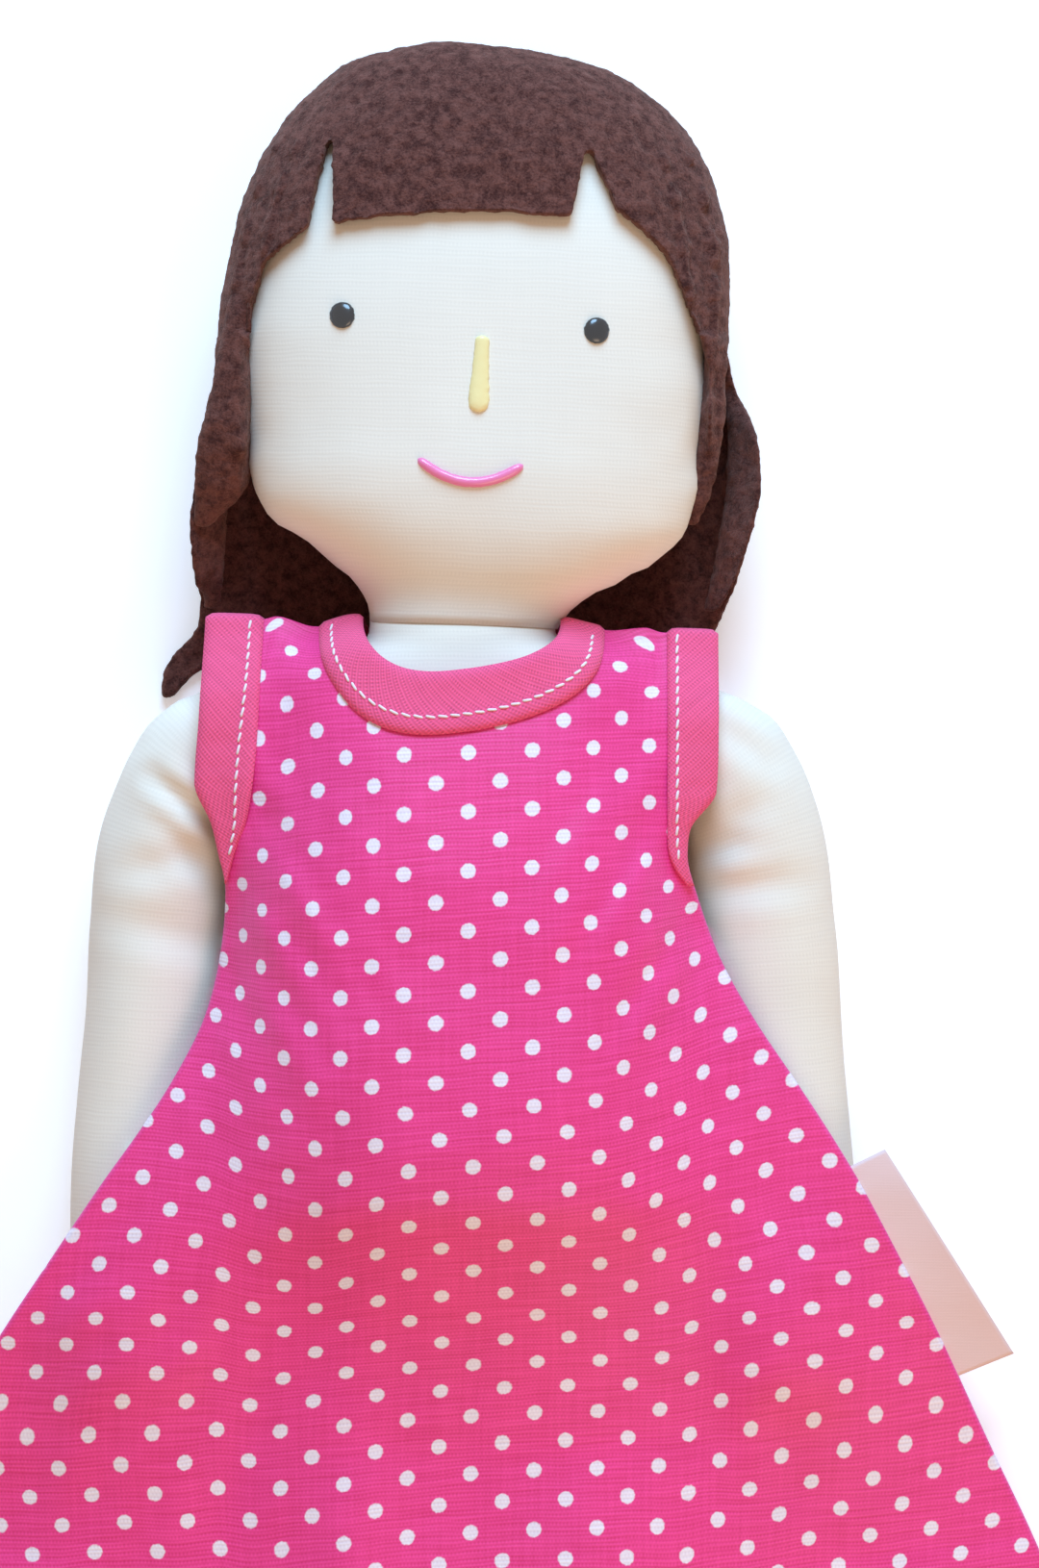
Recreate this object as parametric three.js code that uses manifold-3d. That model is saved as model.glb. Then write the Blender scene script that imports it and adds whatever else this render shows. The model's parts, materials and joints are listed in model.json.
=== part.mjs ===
// A stuffed cotton rag doll in a sleeveless cotton dress, lying on its back, face up.
// Millimetres. X runs across the doll, Y towards the head and Z up out of the chest.
// While the pieces are made, Y is counted from the neck seam. At the end the whole doll is
// moved so that its origin is at the middle of its box, on the surface that it lies on.

import * as THREE from 'three';
import { mergeVertices } from 'three/addons/utils/BufferGeometryUtils.js';
import Module from 'manifold-3d';

const wasm = await Module();
wasm.setup();

// Driving dimensions

const gap = 0.3;                    // left between two pieces that touch
const ease = 0.9;                   // left between the cloth and the stuffed body under it
const cotton = 0.9;                 // the dress cotton, turned edges included
const fleece = 2.7;                 // the hair's fleece
const overrun = 20;                 // how far a cutting prism runs past what it cuts

const headHeight = 118;
const headHalfWidth = 48.4;
const headThickness = 46;
const headTilt = THREE.MathUtils.degToRad(-2);
const neckHalfWidth = 19.5;
const neckThickness = 26;
const neckPivotDrop = 9;            // the neck bends this far below its seam
const seamHeight = 25;              // the side seam of head and neck above the ground

const torsoLength = 152;
const torsoHalfWidth = 45;
const torsoThickness = 50;

const armPivotX = 36.5;
const armPivotDrop = 12;
const armHalfWidth = 14;
const armThickness = 28;
const armLength = 148;
const armDrift = 33.5;              // the hand lies this far outside the shoulder

const legLength = 186;
const legHalfWidth = 18;
const legThickness = 26;
const legSpread = 21;               // each leg's middle from the doll's middle

const dressLength = 213;
const dressHalfWidth = 132;         // at the hem
const armholeDepth = 55;
const shoulderRise = 1;             // the shoulder seam above the neck seam
const bindingWidth = 13;
const bindingThickness = 1;
const neckOpeningHalfWidth = 20.5;
const frontNeckDepth = 10.4;
const backNeckDepth = 4;
const hemSag = 9;                   // the hem is cut this much longer in the middle

const labelLength = 51;
const labelReach = 12;
const labelDrop = 114;              // the label's upper corner below the neck seam
const labelThickness = 0.8;

const placketLength = 52;
const placketWidth = 12;
const placketX = 4.8;               // the placket's middle, beside the slit
const studDrop = 24;                // the press stud below the neck seam
const studRadius = 4;
const studThickness = 1.1;

const eyeRadius = 2.6;
const eyeSpacing = 52.8;
const eyeRise = 63;
const noseLength = 15.6;
const noseHalfWidth = 2.1;
const noseRise = 44;
const noseX = 2.5;
const mouthHalfWidth = 10.6;
const mouthSag = 4;
const mouthRise = 33.4;
const mouthX = 1.6;
const mouthRadius = 1;
const paintRise = 1.1;              // how proud of the face the paint stands
const featureTilt = THREE.MathUtils.degToRad(-3.5);

const hairHalfWidth = 61;           // the long back hair at its widest

const colours = {
  cottonSkin: 0xf6efdc, fleeceHair: 0x4b2a27, pinkCotton: 0xe23a86, pinkBinding: 0xf0608c,
  blackPaint: 0x111114, nosePaint: 0xf3e6ae, lipPaint: 0xee7fae, satin: 0xf2dcd8, nylon: 0xf4f2ee,
};

// Shapes of the pieces, as shares of the sizes above

// Height above the neck seam, half width
const headOutlineShares = [
  [0, 0.405], [0.03, 0.41], [0.065, 0.48], [0.1, 0.635], [0.14, 0.8], [0.175, 0.905],
  [0.21, 0.95], [0.28, 0.975], [0.38, 1], [0.5, 1.005],
];
const crownStartShare = 0.5;        // the crown's arch begins at this height
const crownRoundShare = 2.35;       // how square the arch is: 2 is a true ellipse
const pillowRoundShare = 2.4;       // the same for the head's cross-section
const torsoRoundShare = 2.3;        // and for the torso's
const pillowEdgeShare = 0.02;       // a pillow's rim keeps this share of its thickness
const headRowShare = 2.2;           // how close the head's rows lie towards its crown
const torsoRowShare = 0.11;         // how close the torso's rows lie towards its ends
const clothRowShare = 1.3;          // how close the cloth's rows lie towards the shoulders
// Height above the neck seam, half thickness
const headDepthShares = [[0, 0.565], [0.05, 0.63], [0.1, 0.79], [0.17, 0.92], [0.28, 1], [0.5, 1]];

// Distance below the neck seam, half width
const torsoOutlineShares = [
  [-0.03, 0.425], [0, 0.433], [0.02, 0.45], [0.035, 0.55], [0.05, 0.68], [0.065, 0.765],
  [0.079, 0.79],
  [0.22, 0.8], [0.32, 0.9], [0.46, 0.955], [0.79, 1], [0.92, 0.96], [1, 0.93],
];
// Distance below the neck seam, then the heights of the front, the side seam and the back
const torsoDepthShares = [
  [0, 0.76, 0.5, 0.24], [0.08, 0.81, 0.5, 0.2], [0.2, 0.9, 0.48, 0.155], [0.3, 0.95, 0.47, 0.12],
  [0.4, 0.99, 0.46, 0.08], [0.52, 1, 0.445, 0.035], [0.62, 1.01, 0.43, 0.03], [0.71, 0.99, 0.41, 0.03],
  [0.78, 0.93, 0.38, 0.03], [0.86, 0.7, 0.33, 0.06], [0.93, 0.44, 0.27, 0.11],
  [0.975, 0.29, 0.235, 0.17], [1, 0.224, 0.22, 0.216],
];

// Along the arm: out from its seam, down, the middle's height, half width, half thickness
const armShares = [
  [0, 0, 0.88, 0.02, 0.6], [0.09, 0.025, 0.86, 0.3, 0.68], [0.3, 0.06, 0.8, 0.72, 0.78],
  [0.57, 0.12, 0.7, 0.98, 0.86], [0.766, 0.22, 0.6, 0.98, 0.92], [0.856, 0.34, 0.54, 0.93, 0.95],
  [0.9, 0.48, 0.51, 0.93, 0.98], [0.946, 0.64, 0.51, 0.97, 0.98], [0.976, 0.8, 0.51, 0.99, 0.98],
  [0.99, 0.9, 0.51, 0.9, 0.94], [0.997, 0.96, 0.49, 0.68, 0.76], [1, 0.99, 0.47, 0.36, 0.44],
];

// Along the leg: distance below the hip, outward drift, half width, heights of top, middle and underside
const legShares = [
  [0.0015, 0, 1.02, 0.43, 0.423, 0.416], [0.03, 0, 1.03, 0.56, 0.43, 0.3], [0.07, 0, 1, 0.76, 0.46, 0.16],
  [0.13, 0.02, 0.94, 0.98, 0.5, 0.06], [0.25, 0.05, 0.9, 1.03, 0.52, 0.06],
  [0.4, 0.09, 0.87, 1.02, 0.5, 0.03],
  [0.55, 0.14, 0.84, 0.99, 0.47, -0.04], [0.7, 0.19, 0.8, 0.95, 0.45, -0.04],
  [0.82, 0.23, 0.77, 0.95, 0.45, -0.04], [0.91, 0.26, 0.8, 1.02, 0.46, -0.04],
  [0.96, 0.27, 0.72, 0.96, 0.45, 0.0], [0.985, 0.28, 0.54, 0.82, 0.45, 0.1],
  [1, 0.28, 0.3, 0.62, 0.45, 0.24],
];

const armholeBoundShare = 0.93;     // how far down its armhole the binding shows
const bindingTaperShares = [4, 0.6]; // how late and how sharply it narrows towards the armpit

// Distance below the shoulder seam, distance of the dress's left and right edge from the middle
const dressEdgeShares = [
  [0, 0.409, 0.409], [0.1, 0.407, 0.407], [0.165, 0.4, 0.4], [0.2, 0.368, 0.368], [0.23, 0.356, 0.356],
  [0.26, 0.368, 0.368], [0.33, 0.385, 0.41], [0.39, 0.41, 0.47], [0.45, 0.465, 0.535], [0.5, 0.53, 0.595],
  [0.55, 0.605, 0.65], [0.62, 0.685, 0.715], [0.7, 0.765, 0.785], [0.82, 0.88, 0.885], [0.9, 0.945, 0.945],
  [1, 1.01, 1],
];

// Height above the neck seam, then the left and right edge of the long back hair
const hairEdgeShares = [
  [-0.11, 0.99, 0.62], [-0.06, 0.985, 0.8], [0.0, 0.905, 0.89], [0.08, 0.9, 0.95], [0.2, 0.9, 0.995],
  [0.3, 0.885, 1], [0.42, 0.865, 0.965], [0.56, 0.835, 0.915],
];
const hairCurlShares = [[-0.11, 0], [0, 0.12], [0.2, 0.5], [0.42, 0.78], [0.56, 0.86]];
const hairFallShare = 0.56;         // the long back hair hangs free below this height
const edgeSlackShare = 1e-6;        // a point on the hair's very edge counts as on it
const hairCapShare = 0.3;           // the cap of hair on the head ends at this height
const curlSpanShares = [0.55, 1.02]; // where across the hair its edge begins and ends its curl

// The opening that the cap of hair leaves for the face: across and above the neck seam
const faceOpeningShares = [
  [-0.92, 0.3], [-0.91, 0.37], [-0.9, 0.56], [-0.845, 0.635], [-0.64, 0.695], [-0.56, 0.81], [-0.545, 0.83],
  [-0.545, 0.71], [-0.3, 0.722], [0, 0.727], [0.25, 0.725], [0.466, 0.718],
  [0.525, 0.82], [0.545, 0.83], [0.66, 0.72], [0.765, 0.69], [0.87, 0.65], [0.97, 0.56], [1.02, 0.5],
  [1.06, 0.44], [1.055, 0.3],
];

// The painted nose: along it from its tip, half width
const noseShares = [[0, 0.25], [0.04, 0.75], [0.14, 1], [0.5, 0.85], [0.9, 0.66], [0.97, 0.5], [1, 0.2]];
const mouthRoundShare = 12;         // the painted mouth keeps its width almost to its ends
const mouthEndShare = 0.3;

// The side label leans out of its seam: its height on the seam, its reach at the upper end, its lean
const labelSpanShare = 0.88;
const labelUpperShare = 0.62;
const labelLeanShare = 0.42;

// Half a press stud: distance from its middle, height above its flange
const studShares = [[0, 0], [1, 0], [1, 0.35], [0.72, 0.5], [0.6, 0.9], [0.4, 1], [0, 1]];

// Reading the tables

// A smooth curve through rows of [place, value, value...], as a function of the place.
function curveThrough(rows) {
  const slope = (i, k) => {
    const a = rows[Math.max(i - 1, 0)];
    const b = rows[Math.min(i + 1, rows.length - 1)];
    return (b[k] - a[k]) / (b[0] - a[0]);
  };
  return (place) => {
    const last = rows.length - 2;
    let i = rows.findIndex((row, n) => n > 0 && place <= row[0]) - 1;
    if (i < 0) i = last;
    const [a, b] = [rows[i], rows[i + 1]];
    const step = b[0] - a[0];
    const t = THREE.MathUtils.clamp((place - a[0]) / step, 0, 1);
    return a.slice(1).map((value, n) => {
      const k = n + 1;
      const rise = b[k] - value;
      const limit = (s) => (rise === 0 ? 0 : Math.min(Math.max(s * step / rise, 0), 3) * rise);
      const [m0, m1] = [limit(slope(i, k)), limit(slope(i + 1, k))];
      const [t2, t3] = [t * t, t * t * t];
      return value + rise * (3 * t2 - 2 * t3) + m0 * (t3 - 2 * t2 + t) + m1 * (t3 - t2);
    });
  };
}

const mix = THREE.MathUtils.lerp;
const ramp = THREE.MathUtils.smoothstep;

// Making closed meshes

function geometryOf(points, index) {
  const geometry = new THREE.BufferGeometry();
  geometry.setAttribute('position', new THREE.Float32BufferAttribute(points.flat(), 3));
  geometry.setIndex(index);
  return geometry;
}

function volumeOf(points, index) {
  let volume = 0;
  const [a, b, c] = [new THREE.Vector3(), new THREE.Vector3(), new THREE.Vector3()];
  for (let i = 0; i < index.length; i += 3) {
    a.fromArray(points[index[i]]);
    b.fromArray(points[index[i + 1]]);
    c.fromArray(points[index[i + 2]]);
    volume += a.dot(b.cross(c));
  }
  return volume;
}

// Turns a mesh inside out where its faces point in.
function facingOut(points, index) {
  if (volumeOf(points, index) > 0) return geometryOf(points, index);
  const turned = [];
  for (let i = 0; i < index.length; i += 3) turned.push(index[i], index[i + 2], index[i + 1]);
  return geometryOf(points, turned);
}

// A form that has one top and one underside everywhere, such as a pillow or a sheet of cloth.
// at(u, v) gives its place and its two heights.
function layeredForm(columns, rows, at) {
  const across = columns + 1;
  const tops = [];
  const undersides = [];
  for (let j = 0; j <= rows; j++) {
    for (let i = 0; i <= columns; i++) {
      const { x, y, top, under } = at(i / columns, j / rows);
      tops.push([x, y, top]);
      undersides.push([x, y, under]);
    }
  }
  const layer = tops.length;
  const index = [];
  const quad = (a, b, c, d) => index.push(a, b, c, a, c, d);
  for (let j = 0; j < rows; j++) {
    for (let i = 0; i < columns; i++) {
      const a = j * across + i;
      quad(a, a + 1, a + 1 + across, a + across);
      quad(layer + a, layer + a + across, layer + a + 1 + across, layer + a + 1);
    }
  }
  for (let i = 0; i < columns; i++) {
    const far = rows * across + i;
    quad(layer + i, layer + i + 1, i + 1, i);
    quad(far, far + 1, layer + far + 1, layer + far);
  }
  for (let j = 0; j < rows; j++) {
    const near = j * across;
    const far = near + columns;
    quad(near, near + across, layer + near + across, layer + near);
    quad(far, layer + far, layer + far + across, far + across);
  }
  return facingOut([...tops, ...undersides], index);
}

// A skin over rings of points, closed by a fan at each end, or joined end to end.
function skinOver(rings, joined = false) {
  const sides = rings[0].length;
  const points = rings.flat();
  const index = [];
  const spans = joined ? rings.length : rings.length - 1;
  for (let r = 0; r < spans; r++) {
    const [near, far] = [r * sides, ((r + 1) % rings.length) * sides];
    for (let s = 0; s < sides; s++) {
      const n = (s + 1) % sides;
      index.push(near + s, far + s, far + n, near + s, far + n, near + n);
    }
  }
  if (!joined) {
    const end = (rings.length - 1) * sides;
    for (let s = 1; s < sides - 1; s++) index.push(0, s, s + 1, end, end + s + 1, end + s);
  }
  return facingOut(points, index);
}

// A stuffed limb: an oval ring, with a flat side below, around each station of its middle line.
function limb(stations, sides) {
  const line = stations.map(({ x, y }) => new THREE.Vector2(x, y));
  const rings = stations.map((station, i) => {
    const before = line[Math.max(i - 1, 0)];
    const after = line[Math.min(i + 1, line.length - 1)];
    const along = after.clone().sub(before).normalize();
    const ring = [];
    for (let s = 0; s < sides; s++) {
      const angle = 2 * Math.PI * (s + 1 / 2) / sides;
      const side = station.wide * Math.cos(angle);
      const rise = Math.sin(angle) * (Math.sin(angle) > 0 ? station.up : station.down);
      ring.push([station.x - along.y * side, station.y + along.x * side, station.z + rise]);
    }
    return ring;
  });
  return skinOver(rings, false);
}

// A strip of binding, from stations that each have a line of points across and a facing direction.
function ribbon(stations, thickness, joined) {
  const rings = stations.map(({ line, facing }) => {
    const lift = (point) => point.map((value, k) => value + facing[k] * thickness);
    return [...line, ...line.map(lift).reverse()];
  });
  return skinOver(rings, joined);
}

// Points on a surface from one place on the ground plan to another.
function lineOver(from, to, heightAt) {
  const steps = 3;
  return Array.from({ length: steps + 1 }, (_, i) => {
    const [x, y] = [mix(from[0], to[0], i / steps), mix(from[1], to[1], i / steps)];
    return [x, y, heightAt(x, y)];
  });
}

// Presses whatever is lower than a height flat onto it.
function pressedFlat(geometry, height) {
  const place = geometry.getAttribute('position');
  for (let i = 0; i < place.count; i++) place.setZ(i, Math.max(place.getZ(i), height));
  return geometry;
}

// Cutting and joining

function solidOf(geometry) {
  const bare = geometry.clone();
  bare.deleteAttribute('normal');
  bare.deleteAttribute('uv');
  const merged = mergeVertices(bare);
  return new wasm.Manifold(new wasm.Mesh({
    numProp: 3,
    vertProperties: new Float32Array(merged.getAttribute('position').array),
    triVerts: new Uint32Array(merged.getIndex().array),
  }));
}

function geometryFrom(solid) {
  const mesh = solid.getMesh();
  const geometry = new THREE.BufferGeometry();
  geometry.setAttribute('position', new THREE.BufferAttribute(Float32Array.from(mesh.vertProperties), 3));
  geometry.setIndex(new THREE.BufferAttribute(Uint32Array.from(mesh.triVerts), 1));
  return geometry;
}

// Cuts tools out of a body, and drops any crumb that this leaves beside it.
function cut(body, ...tools) {
  const left = tools.reduce((solid, tool) => solid.subtract(solidOf(tool)), solidOf(body));
  const pieces = left.decompose();
  return geometryFrom(pieces.reduce((a, b) => (b.volume() > a.volume() ? b : a)));
}

// An upright prism over an outline of [x, y] points.
function prismOver(outline, low, high) {
  const shape = new THREE.Shape(outline.map(([x, y]) => new THREE.Vector2(x, y)));
  const prism = new THREE.ExtrudeGeometry(shape, { depth: high - low, bevelEnabled: false });
  prism.translate(0, 0, low);
  return prism;
}

function ellipseOutline(halfWidth, top, depth, points) {
  const outline = [];
  for (let i = 0; i <= points; i++) {
    const angle = Math.PI * (1 + i / points);
    outline.push([halfWidth * Math.cos(angle), top + depth * Math.sin(angle)]);
  }
  outline.push([halfWidth, top + overrun], [-halfWidth, top + overrun]);
  return outline;
}

// The head

const headOutline = curveThrough(headOutlineShares);
const headDepth = curveThrough(headDepthShares);

function crownFall(share) {
  const t = THREE.MathUtils.clamp((share - crownStartShare) / (1 - crownStartShare), 0, 1);
  return Math.pow(Math.max(1 - Math.pow(t, crownRoundShare), 0), 1 / crownRoundShare);
}

// The head's half width at a share of its height.
function headWidthAt(share) {
  return headHalfWidth * headOutline(share)[0] * Math.max(crownFall(share), pillowEdgeShare);
}

// A pillow's cross-section: full in the middle, round at the rim.
function crown(across, fullness) {
  return Math.pow(Math.max(1 - Math.pow(Math.min(Math.abs(across), 1), fullness), 0), 1 / 2);
}

// Turns a point with the head, whose top leans a little to one side.
function leaning(x, y) {
  const pivot = -neckPivotDrop;
  const [c, s] = [Math.cos(headTilt), Math.sin(headTilt)];
  return [x * c - (y - pivot) * s, x * s + (y - pivot) * c + pivot];
}

// The stuffed head, or the same form grown by a margin, from one share of its height to another.
function headForm(margin, columns, rows) {
  return layeredForm(columns, rows, (u, v) => {
    const share = Math.sin(v * Math.PI / 2) * (1 - v) + v * (1 - Math.pow(1 - v, headRowShare));
    const across = Math.sin((2 * u - 1) * Math.PI / 2);
    const wide = headWidthAt(share) + margin;
    const full = headThickness / 2 * headDepth(share)[0] * Math.max(crownFall(share), pillowEdgeShare);
    const thick = full * Math.max(crown(across, pillowRoundShare), pillowEdgeShare) + margin;
    const grown = margin * (2 * share - 1);
    const [x, y] = leaning(across * wide, share * headHeight + grown);
    return { x, y, top: seamHeight + thick, under: seamHeight - thick };
  });
}

const neckRadius = neckThickness / 2;
const headColumns = 12;
const headRows = 16;

function neckSocket(margin) {
  const tool = new THREE.CylinderGeometry(
    neckRadius + margin, neckRadius + margin, 2 * neckHalfWidth + 2 * overrun, 24);
  tool.rotateZ(Math.PI / 2);
  tool.translate(0, -neckPivotDrop, seamHeight);
  return tool;
}

function makeHead() {
  return cut(headForm(0, headColumns, headRows), neckSocket(gap + gap));
}

// Paint that stands proud of the face is a form set on the skin, with what is in the head cut away.
function onFace(form) {
  return cut(form, headForm(gap, headColumns, headRows));
}

function faceTopAt(x, y) {
  const pivot = -neckPivotDrop;
  const [c, s] = [Math.cos(-headTilt), Math.sin(-headTilt)];
  const across = x * c - (y - pivot) * s;
  const share = (x * s + (y - pivot) * c + pivot) / headHeight;
  const full = headThickness / 2 * headDepth(share)[0] * crownFall(share);
  return seamHeight + full * crown(across / headWidthAt(share), pillowRoundShare);
}

// Where the head's lean puts the middle of the eyes.
const eyeShift = -Math.sin(headTilt) * eyeRise;

// Turns a point of the face about the middle of the eyes.
function featurePoint(x, y) {
  const [c, s] = [Math.cos(featureTilt), Math.sin(featureTilt)];
  return [x * c - (y - eyeRise) * s + eyeShift, x * s + (y - eyeRise) * c + eyeRise];
}

function makeEye(side) {
  const [x, y] = featurePoint(side * eyeSpacing / 2, eyeRise);
  const eye = new THREE.SphereGeometry(eyeRadius, 16, 10);
  eye.scale(1, 1, (paintRise + paintRise) / eyeRadius);
  eye.translate(x, y, faceTopAt(x, y) - paintRise / 2);
  return onFace(eye);
}

// A bead of paint along a line over the face.
function paintBead(line, halfWidths) {
  const stations = line.map(([x, y], i) => ({
    x, y, z: faceTopAt(x, y), wide: halfWidths[i], up: paintRise, down: paintRise,
  }));
  return onFace(limb(stations, 10));
}

function makeNose() {
  const line = noseShares.map(([share]) => featurePoint(noseX, noseRise + share * noseLength));
  return paintBead(line, noseShares.map(([, width]) => width * noseHalfWidth));
}

function makeMouth() {
  const line = [];
  const widths = [];
  const steps = 14;
  for (let i = 0; i <= steps; i++) {
    const across = 2 * i / steps - 1;
    const dip = mouthSag * (across * across - 1);
    line.push(featurePoint(mouthX + across * mouthHalfWidth, mouthRise + dip));
    widths.push(mouthRadius * Math.max(crown(across, mouthRoundShare), mouthEndShare));
  }
  return paintBead(line, widths);
}

// The torso

const torsoOutline = curveThrough(torsoOutlineShares);
const torsoDepth = curveThrough(torsoDepthShares);
const torsoColumns = 12;
const torsoRows = 20;

// The heights of the torso's front and back at a place, or null beside it.
function torsoAt(x, y) {
  const share = -y / torsoLength;
  if (share > 1 || share < 0) return null;
  const across = x / (torsoHalfWidth * torsoOutline(share)[0]);
  if (Math.abs(across) >= 1) return null;
  const [front, seam, back] = torsoDepth(share).map((value) => value * torsoThickness);
  const round = crown(across, torsoRoundShare);
  return { front: seam + (front - seam) * round, back: seam - (seam - back) * round };
}

function makeTorso() {
  const neckTop = neckRadius - neckPivotDrop - gap;
  return layeredForm(torsoColumns, torsoRows, (u, v) => {
    const down = mix(-neckTop, torsoLength - gap / 2, v - Math.sin(2 * Math.PI * v) * torsoRowShare);
    const share = down / torsoLength;
    const across = Math.sin((2 * u - 1) * Math.PI / 2);
    const [front, seam, back] = torsoDepth(Math.max(share, 0)).map((value) => value * torsoThickness);
    const round = Math.max(crown(across, torsoRoundShare), pillowEdgeShare);
    const above = Math.min(neckPivotDrop - down, neckRadius - gap / 2);
    const neck = down < neckPivotDrop ? Math.sqrt(neckRadius ** 2 - above ** 2) : Infinity;
    return {
      x: across * torsoHalfWidth * torsoOutline(share)[0],
      y: -down,
      top: seam + Math.min(front - seam, neck) * round,
      under: seam - Math.min(seam - back, neck) * round,
    };
  });
}

// Arms and legs

const limbSides = 12;

function armStations(side, margin = 0) {
  return armShares.map(([out, down, middle, wide, thick]) => {
    const half = thick * armThickness / 2 + margin;
    return {
      x: side * (armPivotX + out * armDrift),
      y: -armPivotDrop - down * armLength,
      z: middle * seamHeight,
      wide: wide * armHalfWidth + margin,
      up: half,
      down: half,
    };
  });
}

function makeArm(side) {
  return pressedFlat(limb(armStations(side), limbSides), 0);
}

function legStations(side) {
  return legShares.map(([along, drift, wide, top, middle, under]) => ({
    x: side * (legSpread + drift * legSpread),
    y: -torsoLength - along * legLength,
    z: middle * legThickness,
    wide: wide * legHalfWidth,
    up: (top - middle) * legThickness,
    down: (middle - under) * legThickness,
  }));
}

function makeLeg(side) {
  return pressedFlat(limb(legStations(side), limbSides), 0);
}

// How high the top of a limb is at a place, or nothing beside it.
function limbTopAt(stations, x, y) {
  const i = stations.findIndex((station, n) => n > 0 && y >= station.y) - 1;
  if (i < 0 || y > stations[0].y) return 0;
  const [a, b] = [stations[i], stations[i + 1]];
  const t = (a.y - y) / (a.y - b.y);
  const across = (x - mix(a.x, b.x, t)) / mix(a.wide, b.wide, t);
  if (Math.abs(across) >= 1) return 0;
  return mix(a.z, b.z, t) + mix(a.up, b.up, t) * Math.sqrt(1 - across * across);
}

const limbs = [-1, 1].flatMap((side) => [armStations(side), legStations(side)]);

function limbsTopAt(x, y) {
  return Math.max(...limbs.map((stations) => limbTopAt(stations, x, y)));
}

// The height of the arms' underside at a place, or infinity beside them.
function armsUnderAt(x, y) {
  const stations = armStations(Math.sign(x) || 1);
  const top = limbTopAt(stations, x, y);
  if (top === 0) return Infinity;
  const nearest = stations.reduce((a, b) => (Math.abs(b.y - y) < Math.abs(a.y - y) ? b : a));
  return 2 * nearest.z - top;
}

// The hair

const hairEdges = curveThrough(hairEdgeShares);
const hairCurl = curveThrough(hairCurlShares);

// The top of the long back hair where it lies behind the neck and the shoulders.
function hairTopAt(x, y) {
  const share = y / headHeight;
  if (share < hairEdgeShares[0][0] || share > hairFallShare) return 0;
  const [left, right] = hairEdges(share);
  const across = x / (hairHalfWidth * (x < 0 ? left : right));
  if (Math.abs(across) > 1 + edgeSlackShare) return 0;
  return fleece + hairCurl(share)[0] * (seamHeight - fleece) * ramp(Math.abs(across), ...curlSpanShares);
}

// A block that is wider than the hair and runs from below the neck up to a place.
function slab(upTo, low, high) {
  const wide = hairHalfWidth + overrun;
  const from = -neckPivotDrop - overrun;
  return prismOver([[-wide, from], [wide, from], [wide, upTo], [-wide, upTo]], low, high);
}
const hairReach = headHeight + overrun;

function makeHairBack() {
  const [low, high] = [hairEdgeShares[0][0], hairFallShare];
  const fall = layeredForm(14, 12, (u, v) => {
    const share = mix(low, high, v);
    const [left, right] = hairEdges(share).map((value) => value * hairHalfWidth);
    const across = 2 * u - 1;
    const x = across * (across < 0 ? left : right);
    const y = share * headHeight;
    const top = Math.max(hairTopAt(x, y), fleece);
    return { x, y, top, under: top - fleece };
  });
  const bowl = headForm(fleece + gap, headColumns, headRows);
  const inside = headForm(gap + gap, headColumns, headRows);
  const front = slab(hairReach, seamHeight - gap / 2, headThickness + overrun);
  const neckZone = slab(hairCapShare * headHeight, -overrun, headThickness + overrun);
  const shell = solidOf(pressedFlat(bowl, 0)).subtract(solidOf(front)).subtract(solidOf(neckZone));
  return geometryFrom(shell.add(solidOf(fall)).subtract(solidOf(inside)));
}

function makeHairFront() {
  const outside = headForm(fleece + gap, headColumns, headRows);
  const inside = headForm(gap + gap, headColumns, headRows);
  const back = slab(hairReach, -overrun, seamHeight + gap / 2);
  const wide = headHalfWidth + overrun;
  const low = hairCapShare * headHeight;
  const opening = prismOver(
    [...faceOpeningShares.map(([x, y]) => [x * headHalfWidth, y * headHeight]),
      [wide, low], [wide, -overrun], [-wide, -overrun], [-wide, low]],
    -overrun, headThickness + overrun);
  return cut(outside, inside, back, opening);
}

// The dress: two cloths draped over the body

const armpit = shoulderRise - armholeDepth;
const dressEdges = curveThrough(dressEdgeShares);
const shoulderHeight = seamHeight - ease;

function dressEdgeAt(down, side) {
  const [left, right] = dressEdges(THREE.MathUtils.clamp(down / dressLength, 0, 1));
  return side * dressHalfWidth * (side < 0 ? left : right);
}

// A cloth's grid: its place at u across and v down, with rows closer together at the shoulders.
function clothPlace(u, v) {
  const side = 2 * u - 1;
  const down = dressLength * Math.pow(v, clothRowShare);
  const y = shoulderRise - down + hemSag * v * v * side * side;
  return [Math.abs(side) * dressEdgeAt(shoulderRise - y, side < 0 ? -1 : 1), y];
}

// The share v down the cloth of a place that lies so far below the shoulder seam.
function clothRowAt(down) {
  return Math.pow(Math.max(down, 0) / dressLength, 1 / clothRowShare);
}

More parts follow.
